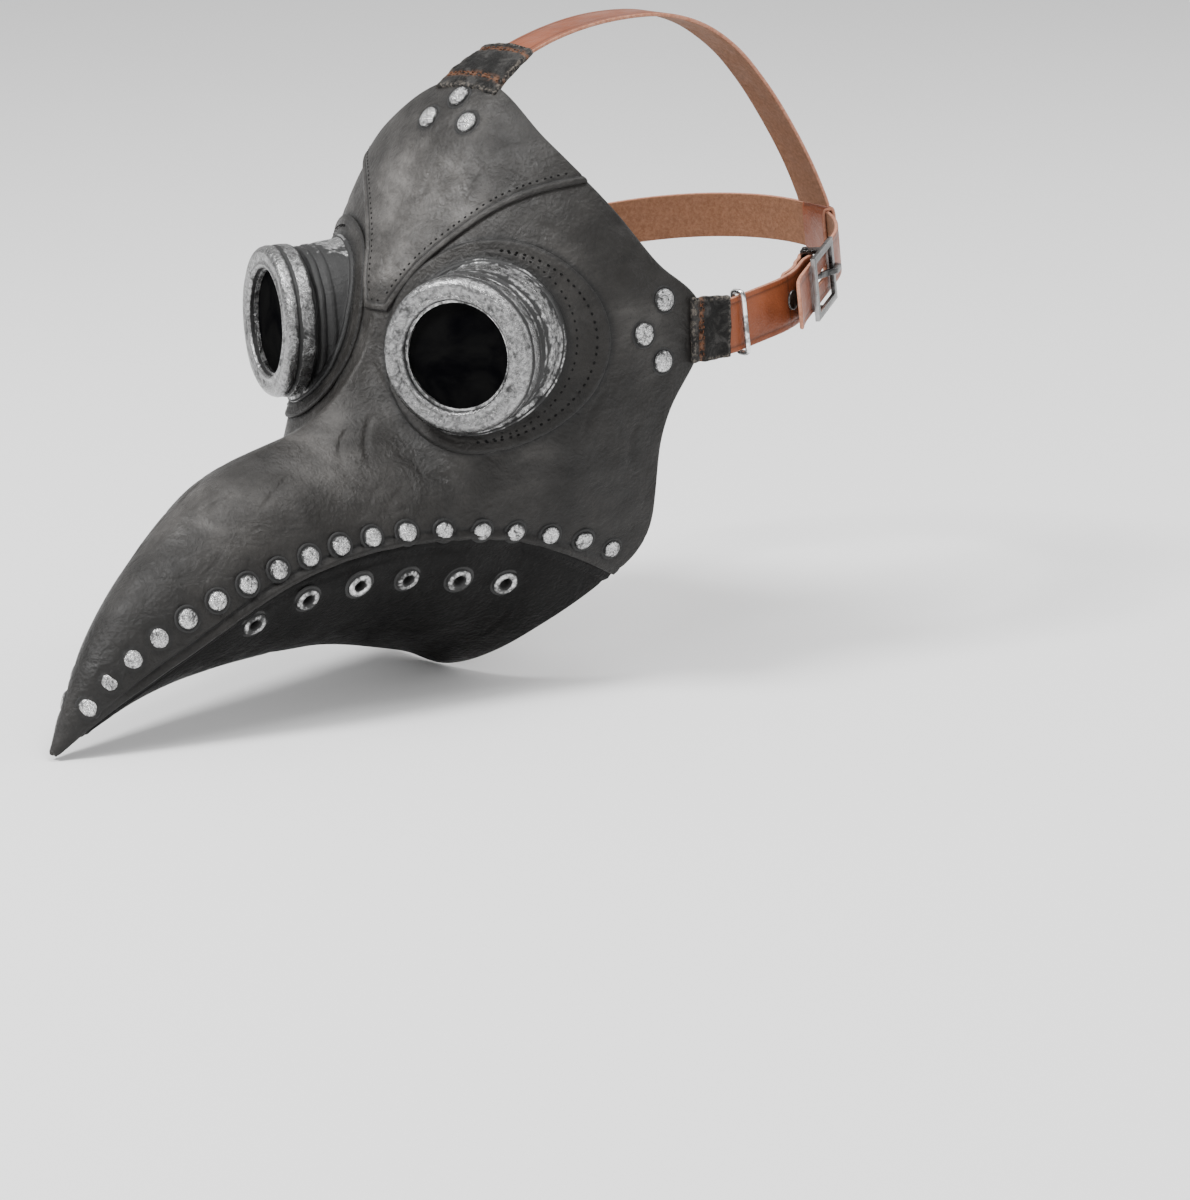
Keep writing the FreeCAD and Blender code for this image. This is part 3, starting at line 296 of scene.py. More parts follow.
def vertex_normals(points, faces):
    diagonals = np.cross(points[faces[:, 2]] - points[faces[:, 0]],
                         points[faces[:, 3]] - points[faces[:, 1]])
    normals = np.zeros_like(points)
    for corner in range(4):
        np.add.at(normals, faces[:, corner], diagonals)
    return unit(normals)


def boundary_edges(faces):
    """Directed edges that belong to one face only."""
    edges = np.concatenate([faces[:, [i, (i + 1) % 4]] for i in range(4)])
    edges = edges[edges[:, 0] != edges[:, 1]]
    span = int(edges.max()) + 1
    forward = edges[:, 0] * span + edges[:, 1]
    backward = edges[:, 1] * span + edges[:, 0]
    return edges[~np.isin(forward, backward)]


class Sheet:
    """A surface of quads that can be given a thickness, with named values at its points."""

    def __init__(self, points, faces):
        self.points = points
        self.faces = faces
        self.normals = vertex_normals(points, faces)
        self.marks = {}

    def facing(self, direction):
        """Turn the faces, if need be, so that the normals agree with a direction."""
        if np.sum(self.normals * direction) < 0:
            self.faces = self.faces[:, ::-1]
            self.normals = -self.normals
        return self

    def drop(self, gone):
        """Take away the faces whose flag is set, and the points that nothing uses any more."""
        faces = self.faces[~gone]
        used = np.unique(faces)
        place = np.full(len(self.points), -1)
        place[used] = np.arange(len(used))
        self.points, self.faces, self.normals = self.points[used], place[faces], self.normals[used]
        self.marks = {name: values[used] for name, values in self.marks.items()}

    def thick(self, top, bottom, bulge=0.35, steps=3):
        """A closed solid between two heights, with its cut edge rounded outward."""
        count = len(self.points)
        top, bottom = np.broadcast_to(top, count), np.broadcast_to(bottom, count)
        edges = boundary_edges(self.faces)
        rim = np.unique(edges)
        sideways = np.zeros_like(self.points)
        run = self.points[edges[:, 1]] - self.points[edges[:, 0]]
        out = unit(np.cross(run, self.normals[edges[:, 0]]))
        for end in (0, 1):
            np.add.at(sideways, edges[:, end], out)
        sideways = unit(sideways)
        layers = [self.points + self.normals * top[:, None],
                  self.points + self.normals * bottom[:, None]]
        middle, half = (top + bottom)[rim] / 2, (top - bottom)[rim] / 2
        rings = [rim]
        for step in range(1, steps + 1):
            angle = math.pi * step / (steps + 1)
            height = middle + half * math.cos(angle)
            reach = half * 2 * bulge * math.sin(angle)
            layers.append(self.points[rim] + self.normals[rim] * height[:, None]
                          + sideways[rim] * reach[:, None])
            rings.append(2 * count + (step - 1) * len(rim) + np.arange(len(rim)))
        rings.append(rim + count)
        faces = [self.faces, self.faces[:, ::-1] + count]
        a, b = np.searchsorted(rim, edges).T
        for upper, lower in zip(rings, rings[1:]):
            faces.append(np.stack([upper[b], upper[a], lower[a], lower[b]], 1))
        marks = {"back": np.concatenate([np.zeros(count), np.ones(count),
                                         np.repeat(np.linspace(0, 1, steps + 2)[1:-1], len(rim))]),
                 "cut": np.concatenate([np.zeros(2 * count), np.ones(steps * len(rim))])}
        for name, values in self.marks.items():
            marks[name] = np.concatenate([values, values] + [values[rim]] * steps)
        return np.concatenate(layers), np.concatenate(faces), marks


def joined(shapes):
    """Several (points, faces) shapes as one."""
    starts = np.cumsum([0] + [len(points) for points, _ in shapes])
    return (np.concatenate([points for points, _ in shapes]),
            np.concatenate([faces + start for (_, faces), start in zip(shapes, starts)]))


def make_piece(name, points, faces, marks, look, slot, replaces=(), side=1, body="mask", blend=None):
    """A Blender mesh from points in millimetres; the right side is the left one mirrored."""
    if side < 0:
        points, faces = mirror(points), faces[:, ::-1]
    mesh = bpy.data.meshes.new(name)
    shape = [tuple(dict.fromkeys(face)) for face in faces.tolist()]
    mesh.from_pydata((points * MM).tolist(), [], [face for face in shape if len(face) > 2])
    for title, values in marks.items():
        attribute = mesh.attributes.new(title, "FLOAT", "POINT")
        attribute.data.foreach_set("value", np.asarray(values, np.float32))
    mesh.polygons.foreach_set("use_smooth", [True] * len(mesh.polygons))
    mesh.materials.append(look)
    mesh.update()
    add_piece(name, mesh, slot, replaces, body, blend)


def placed(name, data):
    """A new object in the scene."""
    thing = bpy.data.objects.new(name, data)
    bpy.context.scene.collection.objects.link(thing)
    return thing


def add_piece(name, mesh, slot, replaces, body, blend=None):
    """Put a mesh in the scene, riding on a body; given a blend, it is left unparented with its transform
    applied.
    """
    thing = placed(name, mesh)
    if blend:
        first, second, start, end = blend
        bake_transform(thing)
        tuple(start)
        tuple(end)
    else:
        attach(thing, body)
    if replaces:
        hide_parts(*replaces)


# ---------------------------------------------------------------- looks

class Look:
    """A node material under construction, with short calls for the nodes used here."""

    def __init__(self, name):
        self.material = bpy.data.materials.new(name)
        self.material.use_nodes = True
        self.nodes = self.material.node_tree.nodes
        self.links = self.material.node_tree.links
        self.shader = self.nodes["Principled BSDF"]
        self.place = self.nodes.new("ShaderNodeTexCoord").outputs["Object"]

    def put(self, value, socket):
        if isinstance(value, bpy.types.NodeSocket):
            self.links.new(value, socket)
        else:
            socket.default_value = value

    def node(self, kind, inputs, output, **settings):
        """One output of a new node with its settings and inputs filled in."""
        node = self.nodes.new("ShaderNode" + kind)
        for title, value in settings.items():
            setattr(node, title, value)
        for title, value in inputs.items():
            self.put(value, node.inputs[title])
        return node.outputs[output]

    def noise(self, scale, detail=4, roughness=0.5, distortion=0.0, stretch=None):
        place = self.place
        if stretch:
            place = self.node("Mapping", {"Vector": place, "Scale": stretch}, "Vector")
        return self.node("TexNoise", {"Vector": place, "Scale": scale, "Detail": detail,
                                      "Roughness": roughness, "Distortion": distortion}, "Fac")

    def patches(self, low, high, *noise, **options):
        """Soft-edged patches: 0 where the noise is below low, 1 where it is above high."""
        return self.span(self.noise(*noise, **options), low, high)

    def cells(self, scale):
        return self.node("TexVoronoi", {"Vector": self.place, "Scale": scale}, "Distance")

    def span(self, *range_inputs):
        """A value eased from one range (low, high) to another, which is 0 to 1 if not given."""
        inputs = dict(enumerate(range_inputs))
        return self.node("MapRange", inputs, "Result", interpolation_type="SMOOTHSTEP")

    def math(self, operation, a, b):
        return self.node("Math", {0: a, 1: b}, 0, operation=operation)

    def times(self, a, b):
        return self.math("MULTIPLY", a, b)

    def plus(self, a, b):
        return self.math("ADD", a, b)

    def minus(self, a, b):
        return self.math("SUBTRACT", a, b)

    def mix(self, share, a, b):
        return self.node("Mix", {"Factor": share, 6: a, 7: b}, 2, data_type="RGBA")

    def mark(self, name):
        return self.node("Attribute", {}, "Fac", attribute_name=name)

    def worn_edges(self, low, high):
        return self.span(self.node("NewGeometry", {}, "Pointiness"), low, high)

    def relief(self, height, distance, strength, under=None):
        inputs = {"Strength": strength, "Distance": distance, "Height": height}
        if under is not None:
            inputs["Normal"] = under
        return self.node("Bump", inputs, "Normal")

    def finish(self, color, roughness, normal=None, metallic=0.0, specular=0.5):
        values = {"Base Color": color, "Roughness": roughness, "Metallic": metallic,
                  "Specular IOR Level": specular}
        for title, value in values.items():
            self.put(value, self.shader.inputs[title])
        if normal is not None:
            self.put(normal, self.shader.inputs["Normal"])
        return self.material


def grey(level, warmth=0.0):
    return (level * (1 + warmth), level, level * (1 - warmth), 1.0)


# The last of these colours is painted shade, for crevices, seams and the rings round studs, and it also
# darkens cut edges.
LINING, PIT, SHADE_AND_GRIME = grey(0.045, 0.08), grey(0.012), grey(0.010)


def shell_look(name, dark, middle, light, specular):
    """Scuffed leather: blotches, fine grain and pores, with painted sheen and highlights in the light colour
    on high places and painted shade in crevices.
    """
    look = Look(name)
    wear, back = look.mark("wear"), look.mark("back")
    color = look.mix(look.patches(0.30, 0.70, 38, 8, 0.68, 0.3), dark, middle)
    streaks = look.patches(0.36, 0.72, 85, 8, 0.7, 0.5, stretch=(1.0, 0.6, 1.5))
    # Painted sheen: the light colour is mixed in where the sheen mark is set, broken up by streaks.
    streaked = look.times(look.times(streaks, wear), 0.55)
    color = look.mix(look.plus(streaked, look.times(wear, 0.45)), color, light)
    pits = look.minus(1.0, look.patches(0.30, 0.42, 900, 3, 0.7))
    color = look.mix(look.times(pits, 0.55), color, PIT)
    # Painted shade from the dark mark, and darker cut edges.
    for mark, share in (("dirt", 0.9), ("cut", 0.85)):
        color = look.mix(look.times(look.mark(mark), share), color, SHADE_AND_GRIME)
    color = look.mix(back, color, LINING)
    normal = look.relief(look.noise(120, 7, 0.62, 1.2), 0.0011, 0.85)
    normal = look.relief(look.cells(650), 0.00028, 0.6, normal)
    normal = look.relief(look.noise(1500, 4, 0.7), 0.00016, 0.6, normal)
    roughness = look.span(look.noise(90, 5, 0.6), 0.3, 0.7, 0.40, 0.56)
    roughness = look.minus(roughness, look.times(wear, 0.15))
    roughness = look.plus(roughness, look.times(back, 0.25))
    return look.finish(color, roughness, normal, specular=specular)


def tab_look():
    """Rough black leather with frayed, pale fibres along its edges."""
    look = Look("tab_leather_look")
    patches = look.noise(130, 7, 0.7, 1.0)
    color = look.mix(look.span(patches, 0.42, 0.66), grey(0.008, 0.04), grey(0.045, 0.04))
    frayed = look.times(look.mark("edge"), look.patches(0.46, 0.60, 700, 5, 0.7))
    color = look.mix(look.times(frayed, 0.7), color, (0.16, 0.14, 0.12, 1))
    rust = look.times(look.mark("seam"), look.patches(0.42, 0.58, 420, 4, 0.6))
    color = look.mix(rust, color, (0.15, 0.075, 0.045, 1))
    normal = look.relief(look.noise(260, 8, 0.72, 0.8), 0.0012, 0.9)
    normal = look.relief(look.cells(900), 0.0003, 0.6, normal)
    return look.finish(color, look.span(patches, 0.3, 0.7, 0.6, 0.9), normal, specular=0.15)


def strap_look():
    """Waxed reddish-brown leather; its back is suede and its cut edges are pale."""
    look = Look("strap_leather_look")
    back, cut = look.mark("back"), look.mark("cut")
    color = look.mix(look.patches(0.34, 0.68, 35, 5, 0.55, 0.5),
                     (0.135, 0.034, 0.012, 1), (0.235, 0.066, 0.027, 1))
    scuffs = look.patches(0.60, 0.74, 220, 8, 0.7, 1.5)
    color = look.mix(look.times(scuffs, 0.45), color, (0.36, 0.13, 0.065, 1))
    color = look.mix(look.times(look.mark("crease"), 0.75), color, (0.060, 0.020, 0.010, 1))
    suede = look.mix(look.patches(0.30, 0.70, 700, 6, 0.7),
                     (0.15, 0.066, 0.033, 1), (0.23, 0.108, 0.060, 1))
    color = look.mix(back, color, suede)
    edge = look.mix(look.patches(0.3, 0.7, 800, 4, 0.7), (0.34, 0.14, 0.085, 1), (0.52, 0.26, 0.18, 1))
    color = look.mix(look.times(cut, 0.9), color, edge)
    normal = look.relief(look.cells(1100), 0.00018, 0.5)
    normal = look.relief(look.noise(160, 6, 0.6), 0.0006, 0.5, normal)
    roughness = look.span(look.noise(120), 0.3, 0.7, 0.30, 0.46)
    roughness = look.plus(roughness, look.times(look.math("MAXIMUM", back, cut), 0.4))
    return look.finish(color, roughness, normal, specular=0.25)


def silver_look(name, scale, coverage, bright, dim):
    """Silver rubbed over black: bright on high places, dark in pits, scratches and grooves."""
    look = Look(name)
    cloud = look.noise(scale, 8, 0.68, 0.8)
    fine = look.noise(scale * 6, 6, 0.7)
    amount = look.plus(look.times(cloud, 0.8), look.times(fine, 0.2))
    # Less silver where the dark mark is set: black left in grooves, and painted shade at the goggle's foot,
    # on its nose side and round studs and eyelets.
    amount = look.minus(amount, look.times(look.mark("dirt"), 0.5))
    rubbed = look.span(amount, coverage - 0.07, coverage + 0.08)
    color = look.mix(rubbed, grey(0.018), look.mix(look.span(fine, 0.35, 0.65), dim, bright))
    normal = look.relief(fine, 0.00035, 0.7, look.relief(cloud, 0.0010, 0.7))
    roughness = look.span(rubbed, 0.0, 1.0, 0.55, 0.27)
    return look.finish(color, roughness, normal, look.span(rubbed, 0.0, 1.0, 0.3, 1.0))


def nickel_look():
    """Dark, tarnished nickel that is rubbed bright along its edges."""
    look = Look("buckle_metal_look")
    tarnish = look.noise(180, 7, 0.65, 0.6)
    color = look.mix(look.span(tarnish, 0.38, 0.66), grey(0.030), grey(0.16))
    color = look.mix(look.worn_edges(0.52, 0.60), color, grey(0.85))
    normal = look.relief(look.noise(900, 5, 0.6), 0.00015, 0.6)
    return look.finish(color, look.span(tarnish, 0.3, 0.7, 0.22, 0.42), normal, 0.95)


def wire_look():
    look = Look("keeper_wire_look")
    color = look.mix(look.patches(0.40, 0.60, 260, 6, 0.6), grey(0.16), grey(0.86))
    return look.finish(color, 0.28, look.relief(look.noise(500, 5, 0.6), 0.0003, 0.6), 0.95)


def lens_look():
    look = Look("lens_glass_look")
    smear = look.noise(45, 5, 0.6, 1.5)
    color = look.mix(look.span(smear, 0.3, 0.7), (0.0015, 0.0015, 0.002, 1), (0.005, 0.005, 0.005, 1))
    return look.finish(color, look.span(smear, 0.35, 0.7, 0.20, 0.34), specular=0.0)


def thread_look(name, dark, light):
    look = Look(name)
    twist = look.noise(1200, 4, 0.6)
    color = look.mix(look.span(twist, 0.35, 0.65), dark, light)
    return look.finish(color, 0.9, look.relief(twist, 0.0003, 0.8), specular=0.1)


def floor_look():
    look = Look("floor_look")
    return look.finish(look.mix(look.noise(2.0, 2, 0.5), grey(0.90), grey(0.94)), 0.75)


SHELL = shell_look("shell_leather_look", grey(0.004, 0.12), grey(0.011, 0.11), grey(0.15, 0.05), 0.24)
# The lower beak takes the same leather in far darker colours: its own darker leather, and also painted shade
# for its downward-facing sides.
JAW = shell_look("jaw_leather_look", grey(0.0012, 0.06), grey(0.003, 0.06), grey(0.016, 0.05), 0.11)
TAB = tab_look()
STRAP = strap_look()
BEZEL_METAL = silver_look("goggle_rim_look", 120, 0.40, grey(0.36), grey(0.14))
GOGGLE = silver_look("goggle_metal_look", 95, 0.47, grey(0.72), grey(0.16))
STUD = silver_look("stud_metal_look", 330, 0.44, grey(0.82), grey(0.16))
NICKEL = nickel_look()
WIRE = wire_look()
LENS = lens_look()
DARK_THREAD = thread_look("dark_thread_look", grey(0.002), grey(0.010))
BROWN_THREAD = thread_look("brown_thread_look", (0.020, 0.010, 0.007, 1), (0.150, 0.065, 0.035, 1))


# ---------------------------------------------------------------- base surface for projections

BASE_GRID = 260, 360
base_where, base_turn = np.meshgrid(np.linspace(0, TIP, BASE_GRID[0]),
                                    np.linspace(-math.pi, math.pi, BASE_GRID[1]), indexing="ij")
base_points = form(base_where, base_turn).reshape(-1, 3)
BASE = Sheet(base_points, grid_faces(*BASE_GRID)).facing(base_points - HEAD_MIDDLE)
BASE_TREE = BVHTree.FromPolygons(BASE.points.tolist(), BASE.faces.tolist())


def on_base(hit):
    """The place and the smooth outward normal of a hit on the base surface."""
    place, _, index, _ = hit
    corners = BASE.faces[index]
    distance = np.linalg.norm(BASE.points[corners] - np.array(place), axis=1)
    weights = 1 / (distance + 1e-3) ** 2
    return np.array(place), unit((BASE.normals[corners] * weights[:, None]).sum(0))


def thrown(points, direction):
    """Where lines from the points along a direction first meet the base surface."""
    found = []
    for point in points:
        hit = BASE_TREE.ray_cast(Vector(point), Vector(direction))
        if hit[0] is None:
            hit = BASE_TREE.find_nearest(Vector(point))
        found.append(on_base(hit))
    return np.array([place for place, _ in found]), np.array([normal for _, normal in found])


def thrown_from(axis, flat, far=200.0):
    """Flat points put far out along an axis and thrown back on the base surface."""
    direction = np.zeros(3)
    direction[axis] = -math.copysign(1, far)
    return thrown(np.insert(flat, axis, far, axis=1), direction)


# ---------------------------------------------------------------- goggle axis

GOGGLE_TURN = math.radians(23.5)
GOGGLE_OUT = np.array([math.sin(GOGGLE_TURN), -math.cos(GOGGLE_TURN), 0])
GOGGLE_SIDE = np.array([math.cos(GOGGLE_TURN), math.sin(GOGGLE_TURN), 0])
GOGGLE_CENTRE = np.array([51.0, -123.0, 1.0])
UP = np.array([0, 0, 1.0])
EYE_HOLE = 22.5


def goggle_ring(radius, angle, out=0.0):
    """Points by their distance from the goggle's axis, angle round it and place along it."""
    across, up, out = np.broadcast_arrays(radius * np.cos(angle), radius * np.sin(angle), out)
    return (GOGGLE_CENTRE + across[..., None] * GOGGLE_SIDE + up[..., None] * UP
            + out[..., None] * GOGGLE_OUT)


# ---------------------------------------------------------------- brow line and fastener places

BROW_EDGE = smooth_path([(5.4, 11), (9.5, 18.5), (16.3, 30), (24.6, 39), (35.5, 48.6),
                         (46.4, 54.5), (60, 59)], 300)
BROW_FOOT = BROW_EDGE[0, 1]


def brow_half_width(z):
    """Half the brow panel's width at a height, seen from the front."""
    last_x, last_z = BROW_EDGE[-1]
    return np.where(z > last_z, last_x + (z - last_z) * 3.0, np.interp(z, BROW_EDGE[:, 1], BROW_EDGE[:, 0]))


def separate_solids(node):
    """The middle of each separate solid of a CAD node, in millimetres."""
    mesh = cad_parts[node].data
    points = np.array([v.co for v in mesh.vertices]) / MM
    _, same = np.unique(np.round(points, 3), axis=0, return_inverse=True)
    same = same.ravel()
    links = same[np.array([tuple(e.vertices) for e in mesh.edges])]
    group, before = np.arange(same.max() + 1), None
    while not np.array_equal(before, group):
        before = group.copy()
        low = np.minimum(group[links[:, 0]], group[links[:, 1]])
        for end in (0, 1):
            np.minimum.at(group, links[:, end], low)
        group = group[group]
    owner = group[same]
    solids = [points[owner == label] for label in np.unique(owner)]
    return np.array([(solid.min(0) + solid.max(0)) / 2 for solid in solids])


# ---------------------------------------------------------------- relief of the leather

# Folds of the leather on both sides: places near the skin, half width and depth; a ridge's is below 0.
FOLDS = [
    ([(1, -114, 12), (2, -117, 2), (8, -119, -9), (21, -120, -22)], 1.3, -0.5),
    ([(33, -95, 31), (30, -101, 23), (22, -107, 16)], 1.8, 0.6),
    ([(12, -127, -24), (18, -136, -33), (25, -140, -41)], 2.2, 0.6),
    ([(10, -136, -27), (15, -146, -35), (22, -149, -40)], 1.8, 0.5),
    ([(28, -127, -36), (38, -125, -43), (47, -118, -45)], 1.8, 0.45),
    ([(16, -88, 56), (15, -94, 46), (11, -100, 36)], 1.6, 0.35),
    ([(4, -84, 65), (3, -91, 53), (2, -97, 43)], 1.6, 0.3),
    ([(13, -79, 71), (12, -87, 58), (9, -94, 47)], 1.8, 0.4),
    ([(26, -81, 63), (23, -86, 55), (21, -91, 48)], 1.6, 0.35),
    ([(47, -80, 44), (56, -74, 40), (64, -70, 34)], 2.0, 0.45),
    ([(73, -67, -14), (71, -74, -24), (69, -77, -35)], 2.0, 0.4),
    ([(75, -52, -27), (74, -56, -37), (73, -53, -47)], 1.8, 0.35),
    ([(64, -88, -40), (67, -80, -44), (70, -70, -44)], 1.6, 0.35),
    ([(8, -190, -42), (8, -199, -47), (5, -206, -50)], 1.8, 0.3),
    ([(16, -170, -39), (18, -180, -44), (21, -190, -50)], 1.8, 0.35),
    ([(29, -138, -92), (23, -124, -102), (24, -109, -107)], 2.2, 0.4),
    ([(44, -87, -97), (37, -88, -104), (27, -91, -112)], 2.2, 0.4)]
FOLD_DEPTH = 1.4
# Painted highlights on high places: middle, reach and strength.
SHEEN_SPOTS = [((8, -90, 50), 27, 0.95), ((3, -106, 24), 18, 0.45), ((12, -150, -36), 30, 0.36),
            ((4, -200, -48), 30, 0.25), ((52, -82, 44), 22, 0.20), ((60, -96, -38), 20, 0.18),
            ((74, -50, 4), 26, 0.30)]


def leather_relief(points):
    """Height of the leather's own swells, wrinkles and folds above its form."""
    height = 0.38 * value_noise(points, 26, 1) + 0.20 * value_noise(points, 11, 2)
    crinkle = 1 - np.abs(value_noise(points + 2.5 * value_noise(points, 9, 5)[:, None], 7.5, 3))
    calm = ramp(value_noise(points, 34, 4), -0.1, 0.5)
    height -= 0.28 * calm * ramp(crinkle, 0.80, 1.0)
    left = folded_left(points)
    for line, width, depth in FOLDS:
        distance, share = nearest_on(left, smooth_path(line, 24))
        fade = ramp(share, 0, 0.25) * (1 - ramp(share, 0.7, 1))
        height -= FOLD_DEPTH * depth * bump(distance, width) * fade
    return height


def painted_sheen(points, normals):
    """Painted sheen: lighter on faces that look up and forward, with painted highlights on the brow, the
    nose, the temple and other high places.
    """
    left = folded_left(points)
    # Painted light from above and in front.
    sheen_amount = 0.05 + 0.20 * ramp(normals[:, 2] * 0.75 - normals[:, 1] * 0.65, 0.1, 1.1)
    for middle, reach, strength in SHEEN_SPOTS:
        sheen_amount += strength * bump(distance_to(left, [middle]), reach)
    swell = ramp(value_noise(points, 17, 1) + 0.6 * value_noise(points, 7, 2), -0.6, 1.0)
    return np.clip(sheen_amount * (0.5 + 0.8 * swell), 0, 1)


# ---------------------------------------------------------------- shell and lower beak

INSIDE = -2.25
JAW_INSET = 0.9
JAW_WALL = 2.6
TIP_DARKNESS = 0.5
LIP_RISE, LIP_WIDTH, LIP_GROOVE = 1.3, 2.0, 3.1
PATCH_HALF = (39.5, 36.5)
PATCH_SHIFT = 3.0
STUDS = {name: separate_solids(name) for name in
         ("left_beak_studs", "left_temple_studs", "brow_studs", "left_eyelets")}


def half_panel(share, rows, turn_at, reach, end, grow=0.0):
    """Half a grid, with turn_at(where, share) as the turn of its columns. It runs from the rim to
    the end, which is a place or a function that gives each column's."""
    def past_rim(where):
        points = form(where, turn_at(where, share), grow)
        return rim_y(points[..., 2]) - points[..., 1]
    start = solve(past_rim, np.zeros(len(share)), np.full(len(share), reach))
    front = end(start) if callable(end) else end
    where = start + (front - start) * np.linspace(0, 1, rows)[:, None]
    return where, turn_at(where, share[None, :])


def both_halves(where, turn, grow=0.0):
    """The sheet of a half grid and its mirror image, which meet in its first column when that
    is the ridge and otherwise in its last, the keel."""
    points = form(where, turn, grow)
    other = mirror(points)
    if turn[0, 0] == 0:
        points = np.concatenate([other[:, ::-1], points[:, 1:]], 1)
    else:
        points = np.concatenate([points, other[:, ::-1][:, 1:]], 1)
    rows, columns = points.shape[:2]
    points = points.reshape(-1, 3)
    return Sheet(points, grid_faces(rows, columns)).facing(points - HEAD_MIDDLE)


def make_upper_shell():
    rows, columns = 250, 150
    skin = both_halves(*half_panel(np.linspace(0, 1, columns), rows,
                                   lambda where, share: mouth_turn(where) * share, NOSE_END, TIP))
    offset = folded_left(skin.points) - GOGGLE_CENTRE
    radius = np.hypot(offset @ GOGGLE_SIDE, offset @ UP)[skin.faces].mean(1)
    skin.drop((radius < EYE_HOLE) & (skin.points[skin.faces].mean(1)[:, 1] < -60))
    left, y = folded_left(skin.points), skin.points[:, 1]
    lip = above_mouth(skin.points)
    fade = ramp(-y, 34, 74) * (1 - ramp(-y, 235, 262))
    from_stud = distance_to(left, [place for name in ("left_beak_studs", "left_temple_studs", "brow_studs")
                                   for place in STUDS[name]])
    heights = leather_relief(skin.points) - 0.35 * bump(from_stud - 4.6, 1.8)
    heights += fade * (LIP_RISE * bump(lip - 0.6, LIP_WIDTH) - 0.7 * bump(lip - LIP_GROOVE, 1.0))
    patch = left - (GOGGLE_CENTRE + PATCH_SHIFT * GOGGLE_SIDE)
    oval = np.hypot((patch @ GOGGLE_SIDE) / PATCH_HALF[0], (patch @ UP) / PATCH_HALF[1])
    # The dark mark: painted shade in a ring round each stud, in the groove under the lip and along the eye
    # patch's edge, and darker towards the beak's tip.
    skin.marks["dirt"] = np.max([0.9 * bump(from_stud - 4.2, 1.9),
                                 bump(lip - LIP_GROOVE, 1.3) * fade,
                                 bump((oval - 1.0) * 38 - 0.5, 1.9) * (y < -60),
                                 TIP_DARKNESS * ramp(-y, 195, 262)], axis=0)
    # Painted sheen and highlights.
    skin.marks["wear"] = painted_sheen(skin.points, skin.normals)
    make_piece("upper_shell_skin", *skin.thick(heights, INSIDE), SHELL, "shell_leather", ["upper_shell"])


def make_lower_beak():
    rows, columns = 230, 80

    def turn_at(where, share):
        start = mouth_turn(where) + 0.006
        return start + (math.pi - start) * share
    skin = both_halves(*half_panel(np.linspace(0, 1, columns), rows, turn_at, NOSE_END, JAW_TIP,
                                   -JAW_INSET), -JAW_INSET)
    skin.drop(distance_to(folded_left(skin.points[skin.faces].mean(1)), STUDS["left_eyelets"]) <= 2.9)
    depth = -above_mouth(skin.points)
    rolled_edge = 0.6 * bump(depth - 2.4, 1.9) - 0.4 * bump(depth - 5.0, 1.2)
    heights = leather_relief(skin.points) * 0.7 + rolled_edge
    from_eyelet = distance_to(folded_left(skin.points), STUDS["left_eyelets"])
    # Painted shade round the eyelets and under the upper shell's lip.
    skin.marks["dirt"] = np.maximum(0.9 * bump(from_eyelet - 5.0, 1.8), 0.9 * (1 - ramp(depth, 0.2, 3.0)))
    # Painted sheen and highlights.
    skin.marks["wear"] = painted_sheen(skin.points, skin.normals)
    make_piece("lower_beak_skin", *skin.thick(heights, heights - JAW_WALL + JAW_INSET), JAW, "jaw_leather",
               ["lower_beak"])


make_upper_shell()
make_lower_beak()


# ---------------------------------------------------------------- brow panel

PANEL_TOP = 1.3
BROW_SEAM = 2.0


def make_brow_panel():
    rows, columns = 170, 48
    bottom = solve(lambda w: BROW_FOOT - form(w, 0 * w)[..., 2], np.array([TIP * 0.1]),
                   np.array([NOSE_END]))[0]
    places = np.linspace(0, bottom, 260)

    def beyond(turn):
        points = form(places, turn)
        return points[:, 0] - brow_half_width(points[:, 2])
    edge_turn = solve(beyond, np.zeros_like(places), np.full_like(places, 1.5))

    def turn_at(where, share):
        return np.interp(where, places, edge_turn) * share

    share = np.sin(np.linspace(0, math.pi / 2, columns))

    def foot(start):
        return solve(lambda where: BROW_FOOT - form(where, turn_at(where, share))[..., 2],
                     start, np.full(columns, bottom))
    skin = both_halves(*half_panel(share, rows, turn_at, bottom, foot))
    flat = folded_left(skin.points)[:, [0, 2]]
    edge, _ = nearest_on(flat, np.concatenate([[(0, BROW_FOOT)], BROW_EDGE[::4]]))
    from_stud = distance_to(folded_left(skin.points), STUDS["brow_studs"])
    heights = PANEL_TOP + leather_relief(skin.points) - 0.3 * bump(from_stud - 5.0, 1.6)
    heights += 0.25 * bump(edge - 0.8, 1.1) - 0.40 * bump(edge - BROW_SEAM, 0.7)
    # Painted shade round the studs and in the seam's groove.
    skin.marks["dirt"] = 0.9 * np.maximum(bump(from_stud - 4.7, 1.8), bump(edge - BROW_SEAM, 0.6))
    # Painted sheen and highlights, a little stronger on the brow.
    skin.marks["wear"] = np.clip(painted_sheen(skin.points, skin.normals) * 1.15, 0, 1)
    make_piece("brow_panel_skin", *skin.thick(heights, -0.3), SHELL, "shell_leather", ["brow_panel"])


make_brow_panel()


# ---------------------------------------------------------------- eye patches

PATCH_GAP = 6.5
PATCH_SPOKES = 220
BARREL_HOLD = 24.0


